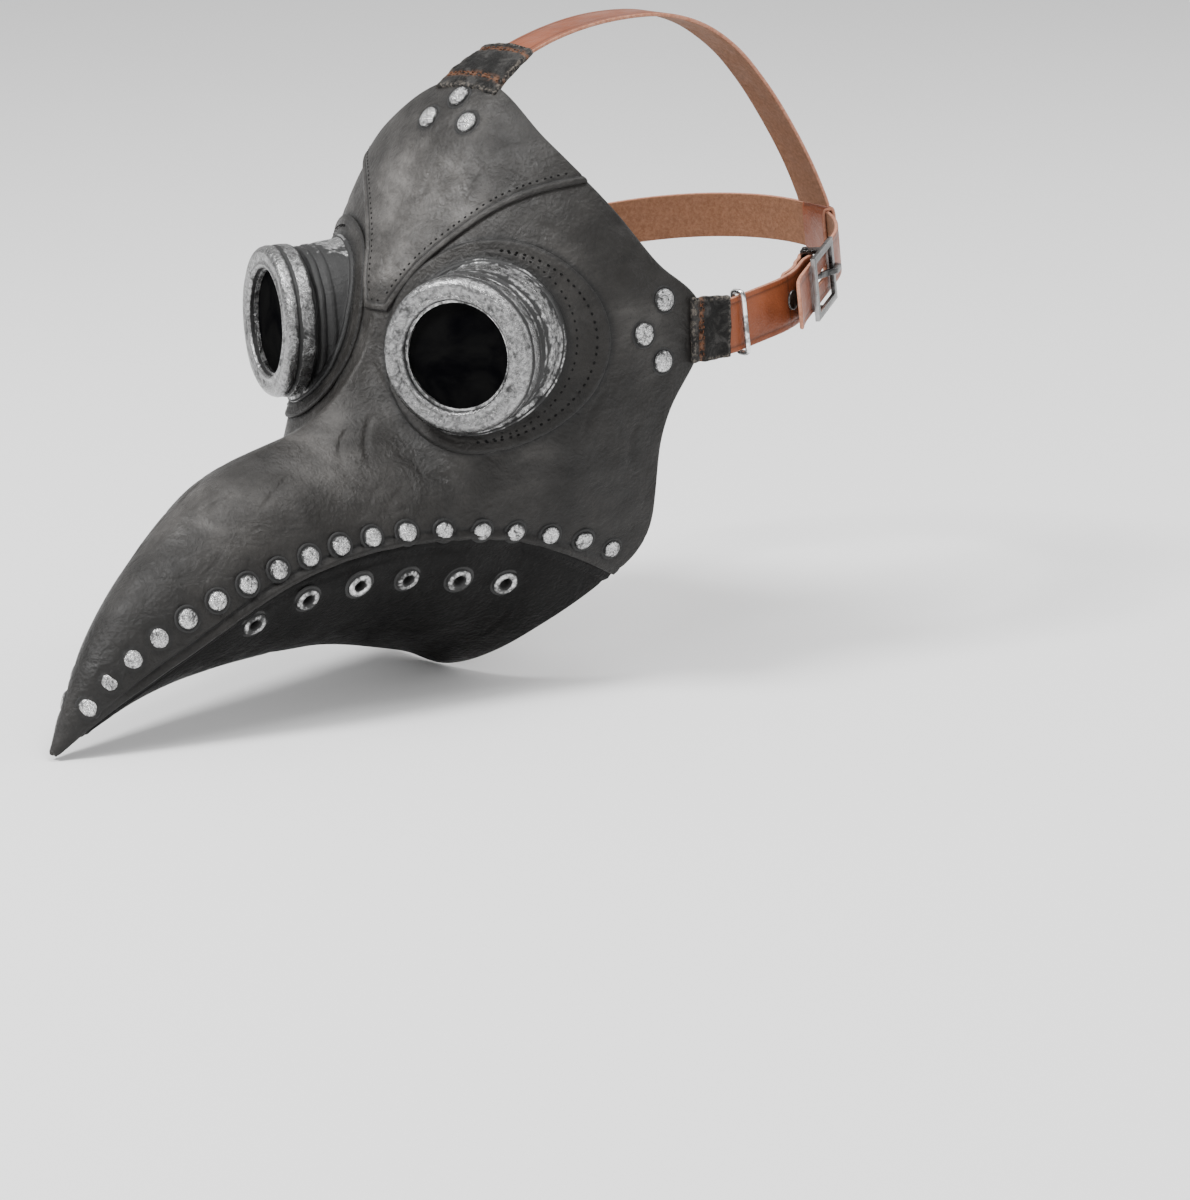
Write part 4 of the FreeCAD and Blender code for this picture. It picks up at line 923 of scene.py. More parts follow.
def patch_reach(angle):
    """The patch's outer radius from the goggle's axis at each angle, trimmed by the brow line."""
    def outside(radius):
        across, up = radius * np.cos(angle), radius * np.sin(angle)
        return np.hypot((across - PATCH_SHIFT) / PATCH_HALF[0], up / PATCH_HALF[1]) - 1
    oval = solve(outside, np.full(len(angle), 10.0), np.full(len(angle), 60.0))

    def into_brow(radius):
        x, _, z = thrown(goggle_ring(radius, angle), -GOGGLE_OUT)[0].T
        return np.where(z > BROW_FOOT, brow_half_width(z) + 0.3, PATCH_GAP) - x
    trimmed = solve(into_brow, np.full(len(angle), BARREL_HOLD), oval, 12)
    return np.maximum(np.where(into_brow(oval) < 0, oval, trimmed), BARREL_HOLD + 0.6)


patch_angle = turns(PATCH_SPOKES)
patch_edge = patch_reach(patch_angle)


def make_eye_patches():
    rings = 26
    radius = BARREL_HOLD + (patch_edge - BARREL_HOLD) * np.linspace(0, 1, rings)[:, None]
    places, normals = thrown(goggle_ring(radius, patch_angle).reshape(-1, 3), -GOGGLE_OUT)
    skin = Sheet(places, grid_faces(rings, PATCH_SPOKES, wrap=True)).facing(places - HEAD_MIDDLE)
    skin.normals = normals
    from_edge = (patch_edge - radius).ravel()
    from_drum = radius.ravel() - 31.0
    heights = 1.15 + leather_relief(places) + 0.20 * bump(from_edge - 0.8, 1.0)
    heights -= 0.25 * bump(from_edge - 3.4, 1.1) + 0.3 * bump(from_drum, 1.5)
    # Painted shade round the drum's foot and along the patch's cut edge.
    skin.marks["dirt"] = np.maximum(0.95 * bump(from_drum + 1.0, 3.0), 0.9 * (1 - ramp(from_edge, 0.0, 0.7)))
    # Painted sheen and highlights, a little weaker.
    skin.marks["wear"] = painted_sheen(places, normals) * 0.8
    shape = skin.thick(heights, -0.2)
    for name, side in SIDES:
        make_piece(name + "_eye_patch_skin", *shape, SHELL, "shell_leather", [name + "_eye_patch"], side)


make_eye_patches()


# ---------------------------------------------------------------- goggles

SPOKES = 200
# Painted shade on the side of the drum that faces the nose.
NOSE_SIDE_SHADE = 0.45
DRUM_FOOT = 29.6
# Turned outlines: radius, place along the goggle's axis from its mouth, darkness.
BEZEL = [(20.2, -2.8, 1), (20.1, -1.8, .7), (20.2, -1.0, .1), (20.7, -0.35, 0), (21.4, -0.15, 0),
         (22.0, -0.35, 0), (22.6, -0.5, .12), (23.4, -0.4, .05), (24.6, -0.15, 0), (26.0, -0.1, 0),
         (27.2, -0.7, 0), (28.0, -1.7, 0), (28.4, -3.0, 0), (28.3, -4.2, .2), (27.9, -4.9, .9),
         (28.0, -5.4, .9), (28.5, -6.1, .1), (28.6, -8.0, .05), (28.5, -10.2, .1), (28.1, -11.2, .5),
         (27.2, -11.7, 1), (25.7, -11.9, 1)]
# In the drum, the darkness in grooves is black showing through the silver; its growing darkness towards the
# leather is painted shade.
DRUM = [(25.6, -10.0, 1), (25.5, -12.6, 1), (26.1, -13.1, .9), (27.0, -13.6, .4), (27.5, -14.5, .1),
        (27.4, -15.4, .3), (26.9, -16.1, .9), (27.3, -16.8, .5), (28.0, -17.8, .1), (28.1, -18.9, .1),
        (27.8, -19.8, .6), (28.0, -20.8, .2), (28.5, -22.8, 0), (28.7, -25.5, 0), (29.0, -28.5, 0),
        (29.5, -31.0, .1), (29.6, -34, .1), (29.6, -37, .1), (29.6, -40, .2), (29.6, -43, .2),
        (29.6, -46, .3), (29.6, -49, .5), (29.6, -52, .8)]
# The drum's foot on the leather: radius, height above the drum's seat, darkness.
# Its darkness where it meets the leather is painted shade.
FLANGE = [(30.3, 1.0, .1), (30.7, 0.3, .2), (30.4, -0.6, .9), (29.8, -1.2, 1)]
# The ring that clamps the shell from inside: radius, distance in from the inner wall, darkness.
CLAMP_RING = [(22.7, -0.3, 1), (22.7, 1.2, 0.6), (23.0, 1.6, 0.2), (25.4, 1.75, 0.1), (27.5, 1.6, 0.2),
              (27.9, 1.2, 0.6), (27.9, -0.3, 1), (22.7, -0.3, 1)]


def refined(profile, times=3):
    """A profile with extra points on its straight runs."""
    last = len(profile) - 1
    return read_off(np.linspace(0, last, last * times + 1), np.arange(last + 1), np.array(profile, float))


def lathe(profile, spokes, deepest=-math.inf):
    """Rings turned about the goggle's axis, none of them below the deepest place at its angle."""
    out = np.maximum(profile[:, 1:2], deepest)
    return goggle_ring(profile[:, 0:1], turns(spokes), out).reshape(-1, 3)


def below_skin(radius, depth):
    """Points at a radius about the goggle's axis and a depth below the skin, one for each spoke."""
    wanted = start = goggle_ring(radius, turns(SPOKES))
    for _ in range(4):
        places, normals = thrown(start, -GOGGLE_OUT)
        points = places - depth * normals
        drift = points - wanted
        start = start - (drift - np.outer(drift @ GOGGLE_OUT, GOGGLE_OUT))
    return points


def goggle_pieces():
    """The shapes of the left goggle: ending of the name, points, darkness, replaced node, look."""
    bezel, drum, clamp = refined(BEZEL), refined(DRUM), refined(CLAMP_RING, 2)
    angle = turns(SPOKES)
    skin, _ = thrown(goggle_ring(DRUM_FOOT, angle), -GOGGLE_OUT)
    seat = (skin - GOGGLE_CENTRE) @ GOGGLE_OUT + 1.2
    foot = [goggle_ring(radius, angle, seat + rise) for radius, rise, _ in FLANGE]
    barrel = np.concatenate([lathe(drum, SPOKES, seat + 1.2)] + foot)
    shade = np.concatenate([drum[:, 2], [dark for _, _, dark in FLANGE]])[:, None]
    # The drum's side facing the nose is darkened: painted shade.
    shade = np.clip(shade + NOSE_SIDE_SHADE * ramp(-np.cos(angle), 0.1, 0.8), 0, 1)
    ring = np.concatenate([below_skin(radius, rise - INSIDE) for radius, rise, _ in clamp])
    return [("bezel_ring", dented(lathe(bezel, SPOKES), 0.16, 6.0, 11), np.repeat(bezel[:, 2], SPOKES),
             "goggle_bezel", BEZEL_METAL),
            ("goggle_drum", dented(barrel, 0.28, 8.0, 21), shade.ravel(), "goggle_barrel", GOGGLE),
            ("clamp_ring", ring, np.repeat(clamp[:, 2], SPOKES), "goggle_clamp_ring", GOGGLE)]


def make_goggles():
    shapes = goggle_pieces()
    for name, side in SIDES:
        for ending, points, dirt, node, look in shapes:
            faces = grid_faces(len(points) // SPOKES, SPOKES, wrap=True)
            make_piece(f"{name}_{ending}", points, faces, {"dirt": dirt}, look, "goggle_metal",
                       [f"{name}_{node}"], side)


make_goggles()


# ---------------------------------------------------------------- studs and eyelets

# Turned outlines from the leather inward: radius beyond the nominal one, height, darkness.
# The dark seat ring round each head and the dark inside of an eyelet's hole are painted shade.
STUD_SEAT = [(1.45, -0.5, 1), (1.25, 0.05, 1), (0.9, 0.2, 1), (0.5, 0.08, 1), (0.12, -0.1, 1),
             (0.05, 0.2, 0.8), (0.0, 0.55, 0.15)]
EYELET_LIP = [(1.3, -0.5, 1), (1.1, 0.05, 1), (0.6, 0.15, 1), (0.12, -0.05, 1), (0.02, 0.35, 0.6),
              (-0.15, 0.8, 0.1), (-0.6, 1.15, 0), (-1.2, 1.28, 0), (-1.9, 1.15, 0.05),
              (-2.4, 0.8, 0.3), (-2.7, 0.2, 0.9), (-2.85, -0.8, 1), (-2.85, -3.4, 1)]
# The dome of a stud: share of its radius, share of its height, darkness.
# The slight darkness at the dome's foot is painted shade.
STUD_DOME = [(0.98, 0.42, 0.3), (0.92, 0.58, 0.1), (0.80, 0.75, 0), (0.64, 0.88, 0), (0.44, 0.96, 0),
             (0.22, 1.0, 0), (0.01, 1.0, 0)]
STUD_RISE = 1.7
HEAD_SPOKES = 36
TIP_SINK = 1.1
BROW_LIFT = 1.2
BEAK_STUD, TEMPLE_STUD, BROW_STUD, EYELET = 3.5, 4.2, 4.0, 4.6


def turned_on(place, normal, profile, spin):
    """Points of a small turned shape, from (radius, height) pairs, standing on the skin."""
    side = unit(np.cross(normal, [0.31, 0.17, 0.94]))
    other = np.cross(normal, side)
    angle = spin + turns(HEAD_SPOKES)
    ring = np.cos(angle)[:, None] * side + np.sin(angle)[:, None] * other
    return (place + profile[:, None, 0:1] * ring[None] + profile[:, None, 1:2] * normal).reshape(-1, 3)


def stud_profile(radius):
    seat = [(radius + out, height, dark) for out, height, dark in STUD_SEAT]
    return np.array(seat + [(radius * share, STUD_RISE * rise, dark) for share, rise, dark in STUD_DOME])


def eyelet_profile(radius):
    return np.array([(radius + out, height, dark) for out, height, dark in EYELET_LIP])


def make_fasteners(node, profile, sink, roughness, seed, look):
    """One piece with every fastener of a CAD node, each a little different from the next."""
    rng = np.random.RandomState(seed)
    heads = []
    for middle in separate_solids(node):
        place, normal = on_base(BASE_TREE.find_nearest(Vector(middle)))
        place = place - normal * TIP_SINK * ramp(-place[1], 222, 240)
        lean = unit(normal + rng.normal(0, 0.025, 3))
        shape = profile * [rng.uniform(0.96, 1.05), 1, 1]
        points = turned_on(place - normal * sink, lean, shape, rng.uniform(0, 6))
        beaten = value_noise(points + rng.uniform(0, 90, 3), 2.6, 31)
        high = np.repeat(1 - profile[:, 2], HEAD_SPOKES)
        points = points + lean * (beaten * high * roughness)[:, None]
        wobble = value_noise(points + rng.uniform(0, 90, 3), 3.4, 33)
        points = points + unit(points - place) * (wobble * 0.12)[:, None]
        heads.append((points, grid_faces(len(profile), HEAD_SPOKES, wrap=True)))
    # Darkness of each point: painted shade at each head's foot and in eyelet holes.
    dirt = np.tile(np.repeat(profile[:, 2], HEAD_SPOKES), len(heads))
    make_piece(node + "_heads", *joined(heads), {"dirt": dirt}, look, "stud_metal", [node])


for number, (side_name, _) in enumerate(SIDES):
    make_fasteners(side_name + "_beak_studs", stud_profile(BEAK_STUD), 0.15, 0.28, 40 + number, STUD)
    make_fasteners(side_name + "_temple_studs", stud_profile(TEMPLE_STUD), 0.15, 0.28, 50 + number, STUD)
    make_fasteners(side_name + "_eyelets", eyelet_profile(EYELET), JAW_INSET, 0.22, 60 + number, GOGGLE)
make_fasteners("brow_studs", stud_profile(BROW_STUD), -BROW_LIFT, 0.28, 70, STUD)


# ---------------------------------------------------------------- stitches

def stitch_row(points, normals, pitch, length, width, height):
    """Short threads along a line on the leather, dipping in at both ends."""
    run = lengths(points)
    count = max(2, int(run[-1] / pitch))
    uneven = np.random.RandomState(count).uniform(-0.12, 0.12, count)
    rings, spokes = 7, 8
    across = np.linspace(-1, 1, rings)[:, None]
    angle = turns(spokes)[:, None]
    thick = np.sqrt(np.maximum(0, 1 - np.abs(across) ** 2.6)) + 0.02
    stitches = []
    for middle in (np.arange(count) + 0.5 + uneven) * run[-1] / count:
        before, here, ahead = (read_off(middle + step, run, points) for step in (-0.4, 0, 0.4))
        normal = unit(read_off(middle, run, normals))
        along = unit(ahead - before)
        ring = np.cos(angle) * np.cross(normal, along) * width / 2 + np.sin(angle) * normal * height
        line = here + across * along * length / 2 - across ** 2 * normal * height * 0.6
        stitch = line[:, None, :] + ring[None] * thick[:, None]
        stitches.append((stitch.reshape(-1, 3), grid_faces(rings, spokes, wrap=True)))
    return joined(stitches)


def on_leather(places, normals, top):
    return places + normals * (top + leather_relief(places))[:, None]


def make_brow_stitches():
    inset = 3.7
    edge = BROW_EDGE[14:-8]
    tangent = unit(np.gradient(edge, axis=0))
    inner = edge + inset * np.stack([-tangent[:, 1], tangent[:, 0]], 1)
    bottom = np.stack([np.linspace(-3.2, 3.2, 12), np.full(12, BROW_FOOT + inset * 0.8)], 1)
    rows = []
    for flat in (inner, inner * [-1, 1], bottom):
        places, normals = thrown_from(1, flat, -400.0)
        inside = places[:, 1] < rim_y(places[:, 2]) - 2.5
        places, normals = places[inside], normals[inside]
        rows.append(stitch_row(on_leather(places, normals, PANEL_TOP + 0.02), normals, 2.6, 1.2, 0.75, 0.18))
    make_piece("brow_stitches", *joined(rows), {}, DARK_THREAD, "shell_leather")


def make_patch_stitches():
    rows = []
    order = np.argsort(np.mod(patch_angle + 4.4, 2 * math.pi))
    for radius in (patch_edge - 3.4, np.full(PATCH_SPOKES, 33.2)):
        keep = (patch_edge > radius + 2.2) & (patch_edge > 36.6)
        start = goggle_ring(radius, patch_angle)[order[keep[order]]]
        places, normals = thrown(start, -GOGGLE_OUT)
        rows.append(stitch_row(on_leather(places, normals, 1.13), normals, 3.0, 1.25, 0.80, 0.18))
    for name, side in SIDES:
        make_piece(name + "_patch_stitches", *joined(rows), {}, DARK_THREAD, "shell_leather", (), side)


make_brow_stitches()
make_patch_stitches()


# ---------------------------------------------------------------- tabs

# Corners as (y, z) at the temple and as (x, y) on the forehead.
TEMPLE_TAB = [(-29.5, 13.8), (-13.2, 12.9), (-13.2, -8.9), (-29.5, -9.8)]
FOREHEAD_TAB = [(-15, -66), (-11.5, -43.6), (11.5, -43.6), (15, -66)]
TAB_TOP = 2.3


def patch_of(corners, rows, columns, ragged, seed):
    """A grid over four corners with a slightly wandering outline, and how far its points are
    from the border and from the first side."""
    a, b, c, d = np.asarray(corners, float)
    u, v = np.meshgrid(np.linspace(0, 1, rows), np.linspace(0, 1, columns), indexing="ij")
    u, v = u[..., None], v[..., None]
    flat = (a * (1 - u) + b * u) * (1 - v) + (d * (1 - u) + c * u) * v
    size_u, size_v = np.linalg.norm(b - a), np.linalg.norm(d - a)
    border = np.minimum(np.minimum(u, 1 - u) * size_u, np.minimum(v, 1 - v) * size_v)[..., 0]
    centre = flat.reshape(-1, 2).mean(0)
    wander = value_noise(np.concatenate([flat, 0 * u], -1).reshape(-1, 3), 3.0, seed).reshape(rows, columns)
    push = ragged * wander * (1 - ramp(border, 0, 3))
    flat = flat + unit(flat - centre) * push[..., None]
    return flat.reshape(-1, 2), border.ravel(), u.ravel() * size_u


def tab_shape(axis, corners, grid, ragged, seed, seams, overlap=0.0):
    """The leather of a tab, thrown on the shell along an axis; overlap is its swell over a strap."""
    flat, border, from_root = patch_of(corners, *grid, ragged, seed)
    places, normals = thrown_from(axis, flat)
    skin = Sheet(places, grid_faces(*grid)).facing(places - HEAD_MIDDLE)
    skin.normals = normals
    rough = 0.30 * value_noise(places, 2.6, 81) + 0.16 * value_noise(places, 1.2, 82)
    seam = np.max([bump(from_root - place, 1.9) for place in seams], axis=0)
    heights = TAB_TOP + rough - 0.4 * seam + overlap * ramp(from_root, 11.5, 15.5)
    skin.marks = {"edge": 1 - ramp(border, 0.2, 1.6), "seam": seam}
    return skin.thick(heights, -0.2, bulge=0.2)


def tab_threads(axis, lines, length):
    rows = []
    for line in lines:
        places, normals = thrown_from(axis, line)
        rows.append(stitch_row(places + normals * (TAB_TOP - 0.3), normals, 2.2, length, 0.55, 0.32))
    return joined(rows)


def make_tab(name, leather, threads, side=1):
    make_piece(name + "_leather", *leather, TAB, "tab_leather", [name], side)
    make_piece(name.replace("_tab", "_stitches"), *threads, {}, BROWN_THREAD, "tab_leather", (), side)


def make_temple_tabs():
    z = np.linspace(12.2, -8.2, 30)
    lines = [np.stack([TEMPLE_TAB[0][0] + along + 0.35 * np.sin(z * 1.9 * turn), z], 1)
             for along, turn in ((2.6, 1), (4.1, -1))]
    leather = tab_shape(0, TEMPLE_TAB, (36, 42), 0.5, 3, [3.2], 1.3)
    threads = tab_threads(0, lines, 1.7)
    for name, side in SIDES:
        make_tab(name + "_temple_tab", leather, threads, side)


def make_forehead_tab():
    lines = [np.stack([np.linspace(-half, half, 26), np.full(26, FOREHEAD_TAB[0][1] + along)], 1)
             for along, half in ((4.0, 13.2), (5.0, 13.0), (19.0, 10.8), (20.0, 10.8))]
    make_tab("forehead_tab", tab_shape(2, FOREHEAD_TAB, (42, 48), 0.4, 5, [4.4, 19.4]),
             tab_threads(2, lines, 1.8))


make_temple_tabs()
make_forehead_tab()


# ---------------------------------------------------------------- harness

HARNESS_ORIGIN = np.array([0, -15.0, 1.5])
HARNESS_TILT = math.radians(8.5)
HARNESS_BACK = np.array([0, math.cos(HARNESS_TILT), math.sin(HARNESS_TILT)])
HARNESS_UP = np.array([0, -math.sin(HARNESS_TILT), math.cos(HARNESS_TILT)])
LEATHER = 1.5
BILLET_WIDTH, STRAP_WIDTH = 20.0, 17.5
SIDE_START = (83.2, 3.2)
SIDE_STRAIGHT, SIDE_RADIUS, SIDE_TURN, FOLD_RUN = 23.1, 47.0, 27.8, 15.0
STRAP_LEVEL = 3.1 + LEATHER / 2
BACK_RUN = 28.0
# The strap's free end: how far ahead of the pin it starts, hinges, begins to bend and has bent.
HIDDEN, TAIL_HINGE, BEND_START, BEND_END = 12.9, 15.9, 13.3, 19.0


class Route:
    """A strap's centre line in a plane, as points about a millimetre apart."""

    def __init__(self, start, heading):
        self.points = [np.asarray(start, float)]
        self.heading = math.radians(heading)

    def ahead(self):
        return np.array([math.cos(self.heading), math.sin(self.heading)])

    def straight(self, length):
        start = self.points[-1]
        count = max(1, round(length))
        self.points += [start + self.ahead() * length * i / count for i in range(1, count + 1)]
        return self

    def bend(self, radius, turn):
        """Turn left by a positive angle in degrees, right by a negative one."""
        sign = 1 if turn > 0 else -1
        turn = math.radians(turn)
        centre = self.points[-1] + radius * sign * np.array([-self.ahead()[1], self.ahead()[0]])
        arm = self.points[-1] - centre
        count = max(2, round(abs(turn) * radius))
        for i in range(1, count + 1):
            c, s = math.cos(turn * i / count), math.sin(turn * i / count)
            self.points.append(centre + np.array([c * arm[0] - s * arm[1], s * arm[0] + c * arm[1]]))
        self.heading += turn
        return self

    def line(self):
        return np.array(self.points)


def in_harness(flat, height):
    """World points from (p, q) in the harness plane and a height across the strap."""
    return (HARNESS_ORIGIN + flat[..., 0:1] * np.array([1.0, 0, 0]) + flat[..., 1:2] * HARNESS_BACK
            + height[..., None] * HARNESS_UP)


side_route = Route(SIDE_START, 90).straight(SIDE_STRAIGHT).bend(SIDE_RADIUS, SIDE_TURN).straight(FOLD_RUN)
BUCKLE_BACK = side_route.ahead()
BUCKLE_OUT = np.array([BUCKLE_BACK[1], -BUCKLE_BACK[0]])
PIN = side_route.line()[-1] - BUCKLE_OUT * LEATHER / 2


def at_buckle(u, v):
    """(p, q) from the distances behind the pin and out from it."""
    return PIN + np.multiply.outer(u, BUCKLE_BACK) + np.multiply.outer(v, BUCKLE_OUT)


def behind_pin(points):
    """How far behind the pin points lie along the buckle, on either side of the head."""
    flat = np.stack([np.abs(points[:, 0]), (points - HARNESS_ORIGIN) @ HARNESS_BACK], 1)
    return (flat - PIN) @ BUCKLE_BACK


# The rear strap's bow round the back of the head, in the harness plane.
bow_start = at_buckle(BACK_RUN, STRAP_LEVEL)
BOW_RADIUS = bow_start[0] / math.cos(math.radians(SIDE_TURN))
BOW_CENTRE = np.array([0, bow_start[1] - BOW_RADIUS * math.sin(math.radians(SIDE_TURN))])


def strap_columns(width):
    """Places across a strap, closer together near its edges."""
    half = width / 2
    edge = np.array([0, 0.35, 0.8, 1.3, 1.8, 2.3])
    inner = np.linspace(-half + 3.0, half - 3.0, 18)
    return np.concatenate([edge - half, inner, (half - edge)[::-1]])


def strap_piece(name, node, line, width, place, wave, seed=0, rounding=0.0, hole=None, creases=(), side=1,
                blend=None):
    """A leather strap along a line in a plane, with the last stretch of it rounded off.

    The hole is given as half its height and where it starts and ends behind the pin.
    """
    columns = strap_columns(width)
    run = lengths(line)
    narrow = np.ones(len(line))
    if rounding:
        from_end = np.clip((run[-1] - run) / rounding, 0, 1)
        narrow = np.sqrt(np.clip(1 - (1 - from_end) ** 2.4, 0.02, 1))
    height = columns * narrow[:, None]
    points = place(np.repeat(line[:, None, :], len(columns), 1), height).reshape(-1, 3)
    skin = Sheet(points, grid_faces(len(line), len(columns))).facing(points - HEAD_MIDDLE)
    from_edge = (width / 2 * narrow[:, None] - np.abs(height)).ravel()
    groove = bump(from_edge - 1.9, 0.7)
    for where in creases:
        groove = np.maximum(groove, 0.8 * bump(np.repeat(run, len(columns)) - where, 0.9))
    shift = value_noise(points + seed * 17.0, 19, 90 + seed) * wave
    skin.marks = {"crease": groove, "shift": shift}
    if hole:
        half_height, low, high = hole
        across = height.ravel()[skin.faces].mean(1)
        along = behind_pin(points[skin.faces].mean(1))
        skin.drop((np.abs(across) < half_height) & (along > low) & (along < high))
    shift = skin.marks.pop("shift")
    shape = skin.thick(LEATHER / 2 - 0.14 * skin.marks["crease"] + shift, shift - LEATHER / 2, bulge=0.3)
    make_piece(name, *shape, STRAP, "strap_leather", [node], side, blend=blend)


def make_buckle_straps():
    """The strap from the temple tab, folded round the buckle's pin and back under itself."""
    eye, gap, settle = 2.15, 0.12, 8.5
    line = side_route.line()
    lead = np.array([SIDE_START]) - np.array([[0.9, 2.4], [0.35, 1.2]])
    heading = unit(np.gradient(line, axis=0))
    out = np.stack([heading[:, 1], -heading[:, 0]], 1)
    run = lengths(line)
    to_pin = run[-1] - run
    near_pin = 1 - ramp(to_pin, 0, settle)
    rise = (eye - LEATHER / 2) * near_pin
    outer = line + out * rise[:, None]
    angle = np.linspace(math.pi / 2, -math.pi / 2, 11)[1:-1]
    loop = at_buckle(eye * np.cos(angle), eye * np.sin(angle))
    inner_end = SIDE_STRAIGHT + 0.35 * math.radians(SIDE_TURN) * SIDE_RADIUS
    sink = LEATHER + gap + (eye * 2 - LEATHER - gap - rise.max()) * near_pin
    sink = sink + 0.9 * bump(run - inner_end, 9.0) + 0.8 * bump(to_pin - 9, 6)
    inner = (line - out * sink[:, None])[run > inner_end][::-1]
    whole = smooth_path(np.concatenate([lead, outer, loop, inner]), 150)
    for seed, (name, side) in enumerate(SIDES, 1):
        strap_piece(name + "_billet", name + "_buckle_strap", whole, BILLET_WIDTH, in_harness, 0.12, seed,
                    rounding=4.0, hole=(1.9, -5.2, 5.2), creases=(inner_end + 4.0,), side=side)


def make_rear_strap():
    """The strap round the back of the head, and its free ends ahead of the buckles."""
    start = at_buckle(-HIDDEN, STRAP_LEVEL)
    run = HIDDEN + BACK_RUN
    route = Route(start, 90 + SIDE_TURN).straight(run)
    route.bend(BOW_RADIUS, 2 * (90 - SIDE_TURN)).straight(run)
    strap_piece("rear_strap_leather", "rear_strap", route.line(), STRAP_WIDTH, in_harness, 0.06, 4,
                hole=(2.3, -5.8, 13.4))
    tail = Route(start, 90 + SIDE_TURN + 180)
    tail.straight(TAIL_HINGE - HIDDEN + 6.0).bend(60, math.degrees(18 / 60))
    bend = [in_harness(at_buckle(-ahead, STRAP_LEVEL), np.zeros(())) * MM for ahead in (BEND_START, BEND_END)]
    for name, side in SIDES:
        ends = [place * [side, 1, 1] for place in bend]
        strap_piece(name + "_strap_end", name + "_strap_tail", tail.line(), STRAP_WIDTH, in_harness, 0.0,
                    rounding=7.5, side=side, blend=("mask", name + "_tail", *ends))


CROWN_SKEW = math.radians(10.8)
CROWN_ORIGIN = np.array([0, -46.0, 97.0])
CROWN_BACK = np.array([math.sin(CROWN_SKEW), math.cos(CROWN_SKEW), 0])
CROWN_ACROSS = np.array([math.cos(CROWN_SKEW), -math.sin(CROWN_SKEW), 0])
CROWN_RISE, CROWN_TUCK, CROWN_WIDTH = 26.0, 6.0, 18.0
CROWN_BENDS = [(128, 27.3), (69, 45.6), (214, 17.8), (31, 5.0)]
CROWN_REACH = 0.8
LOOP_PLACE, LOOP_GAP = 27.0, 0.75


def in_crown(flat, height):
    return (CROWN_ORIGIN + flat[..., 0:1] * CROWN_BACK + flat[..., 1:2] * UP
            + height[..., None] * CROWN_ACROSS)


def make_crown_strap():
    rise = math.radians(CROWN_RISE)
    start = -CROWN_TUCK * np.array([math.cos(rise), math.sin(rise)])
    route = Route(start, CROWN_RISE).straight(CROWN_TUCK)
    for radius, fall in CROWN_BENDS:
        route.bend(radius, -fall)
    route.straight(CROWN_REACH)
    strap_piece("crown_strap_leather", "crown_strap", route.line(), CROWN_WIDTH, in_crown, 0.3, 9)


def make_crown_loop():
    """The leather loop that hangs the rear strap from the end of the crown strap."""
    squareness = 0.35
    angle = math.acos(LOOP_PLACE / BOW_RADIUS)
    away = np.array([math.cos(angle), math.sin(angle)])
    along = np.array([-away[1], away[0]])
    middle = BOW_CENTRE + away * BOW_RADIUS
    half_depth = LOOP_GAP + LEATHER
    half_height = STRAP_WIDTH / 2 + LOOP_GAP - 0.35 + LEATHER / 2
    turn = turns(96)
    depth, height = (half * np.sign(wave) * np.abs(wave) ** squareness
                     for half, wave in ((half_depth, np.cos(turn)), (half_height, np.sin(turn))))
    columns = strap_columns(CROWN_WIDTH)
    flat = middle + depth[:, None, None] * away + columns[None, :, None] * along
    points = in_harness(flat, np.repeat(height[:, None], len(columns), 1)).reshape(-1, 3)
    skin = Sheet(points, grid_faces(len(turn), len(columns), loop=True))
    skin.facing(points - in_harness(middle, np.zeros(())))
    make_piece("crown_loop_leather", *skin.thick(LEATHER / 2, -LEATHER / 2, bulge=0.3), STRAP,
               "strap_leather", ["crown_loop"])


make_buckle_straps()
make_rear_strap()
make_crown_strap()
make_crown_loop()


# ---------------------------------------------------------------- metal of the harness

KEEPER_PLACE = (83.2, 8.0)
KEEPER_INSIDE = (3.2, 21.6)
KEEPER_WIRE, KEEPER_CORNER = 2.0, 1.7
WIRE_SPOKES = 14
QUARTERS = ((1, 1), (-1, 1), (-1, -1), (1, -1))


def softened(node, name, body, width):
    """A CAD metal part with its sharp edges rounded over."""
    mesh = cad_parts[node].data.copy()
    mesh.name = name
    work = bmesh.new()
    work.from_mesh(mesh)
    bmesh.ops.remove_doubles(work, verts=work.verts, dist=1e-6)
    bmesh.ops.dissolve_limit(work, angle_limit=math.radians(4), verts=work.verts, edges=work.edges)
    sharp = [e for e in work.edges if e.is_manifold and e.calc_face_angle(0) > math.radians(35)]
    bmesh.ops.bevel(work, geom=sharp, offset=width * MM, segments=3, profile=0.5,
                    affect="EDGES", clamp_overlap=True)
    bmesh.ops.triangulate(work, faces=[f for f in work.faces if len(f.verts) > 4])
    work.to_mesh(mesh)
    work.free()
    mesh.polygons.foreach_set("use_smooth", [True] * len(mesh.polygons))
    mesh.set_sharp_from_angle(angle=math.radians(32))
    mesh.materials.clear()
    mesh.materials.append(NICKEL)
    add_piece(name, mesh, "buckle_metal", [node], body)


def keeper_path():
    """The middle of the keeper's wire: round corners, with points along the two long sides."""
    half = [(inside + KEEPER_WIRE) / 2 for inside in KEEPER_INSIDE]
    path = []
    for quarter, signs in enumerate(QUARTERS):
        middle = [sign * (size - KEEPER_CORNER) for sign, size in zip(signs, half)]
        for step in range(9):
            angle = math.pi / 2 * (quarter + step / 8)
            path.append(middle + KEEPER_CORNER * np.array([math.cos(angle), math.sin(angle)]))
        if quarter % 2:
            last = path[-1]
            path += [last * [1, 1 - 2 * share] for share in np.linspace(0.1, 0.9, 9)]
    return np.array(path)


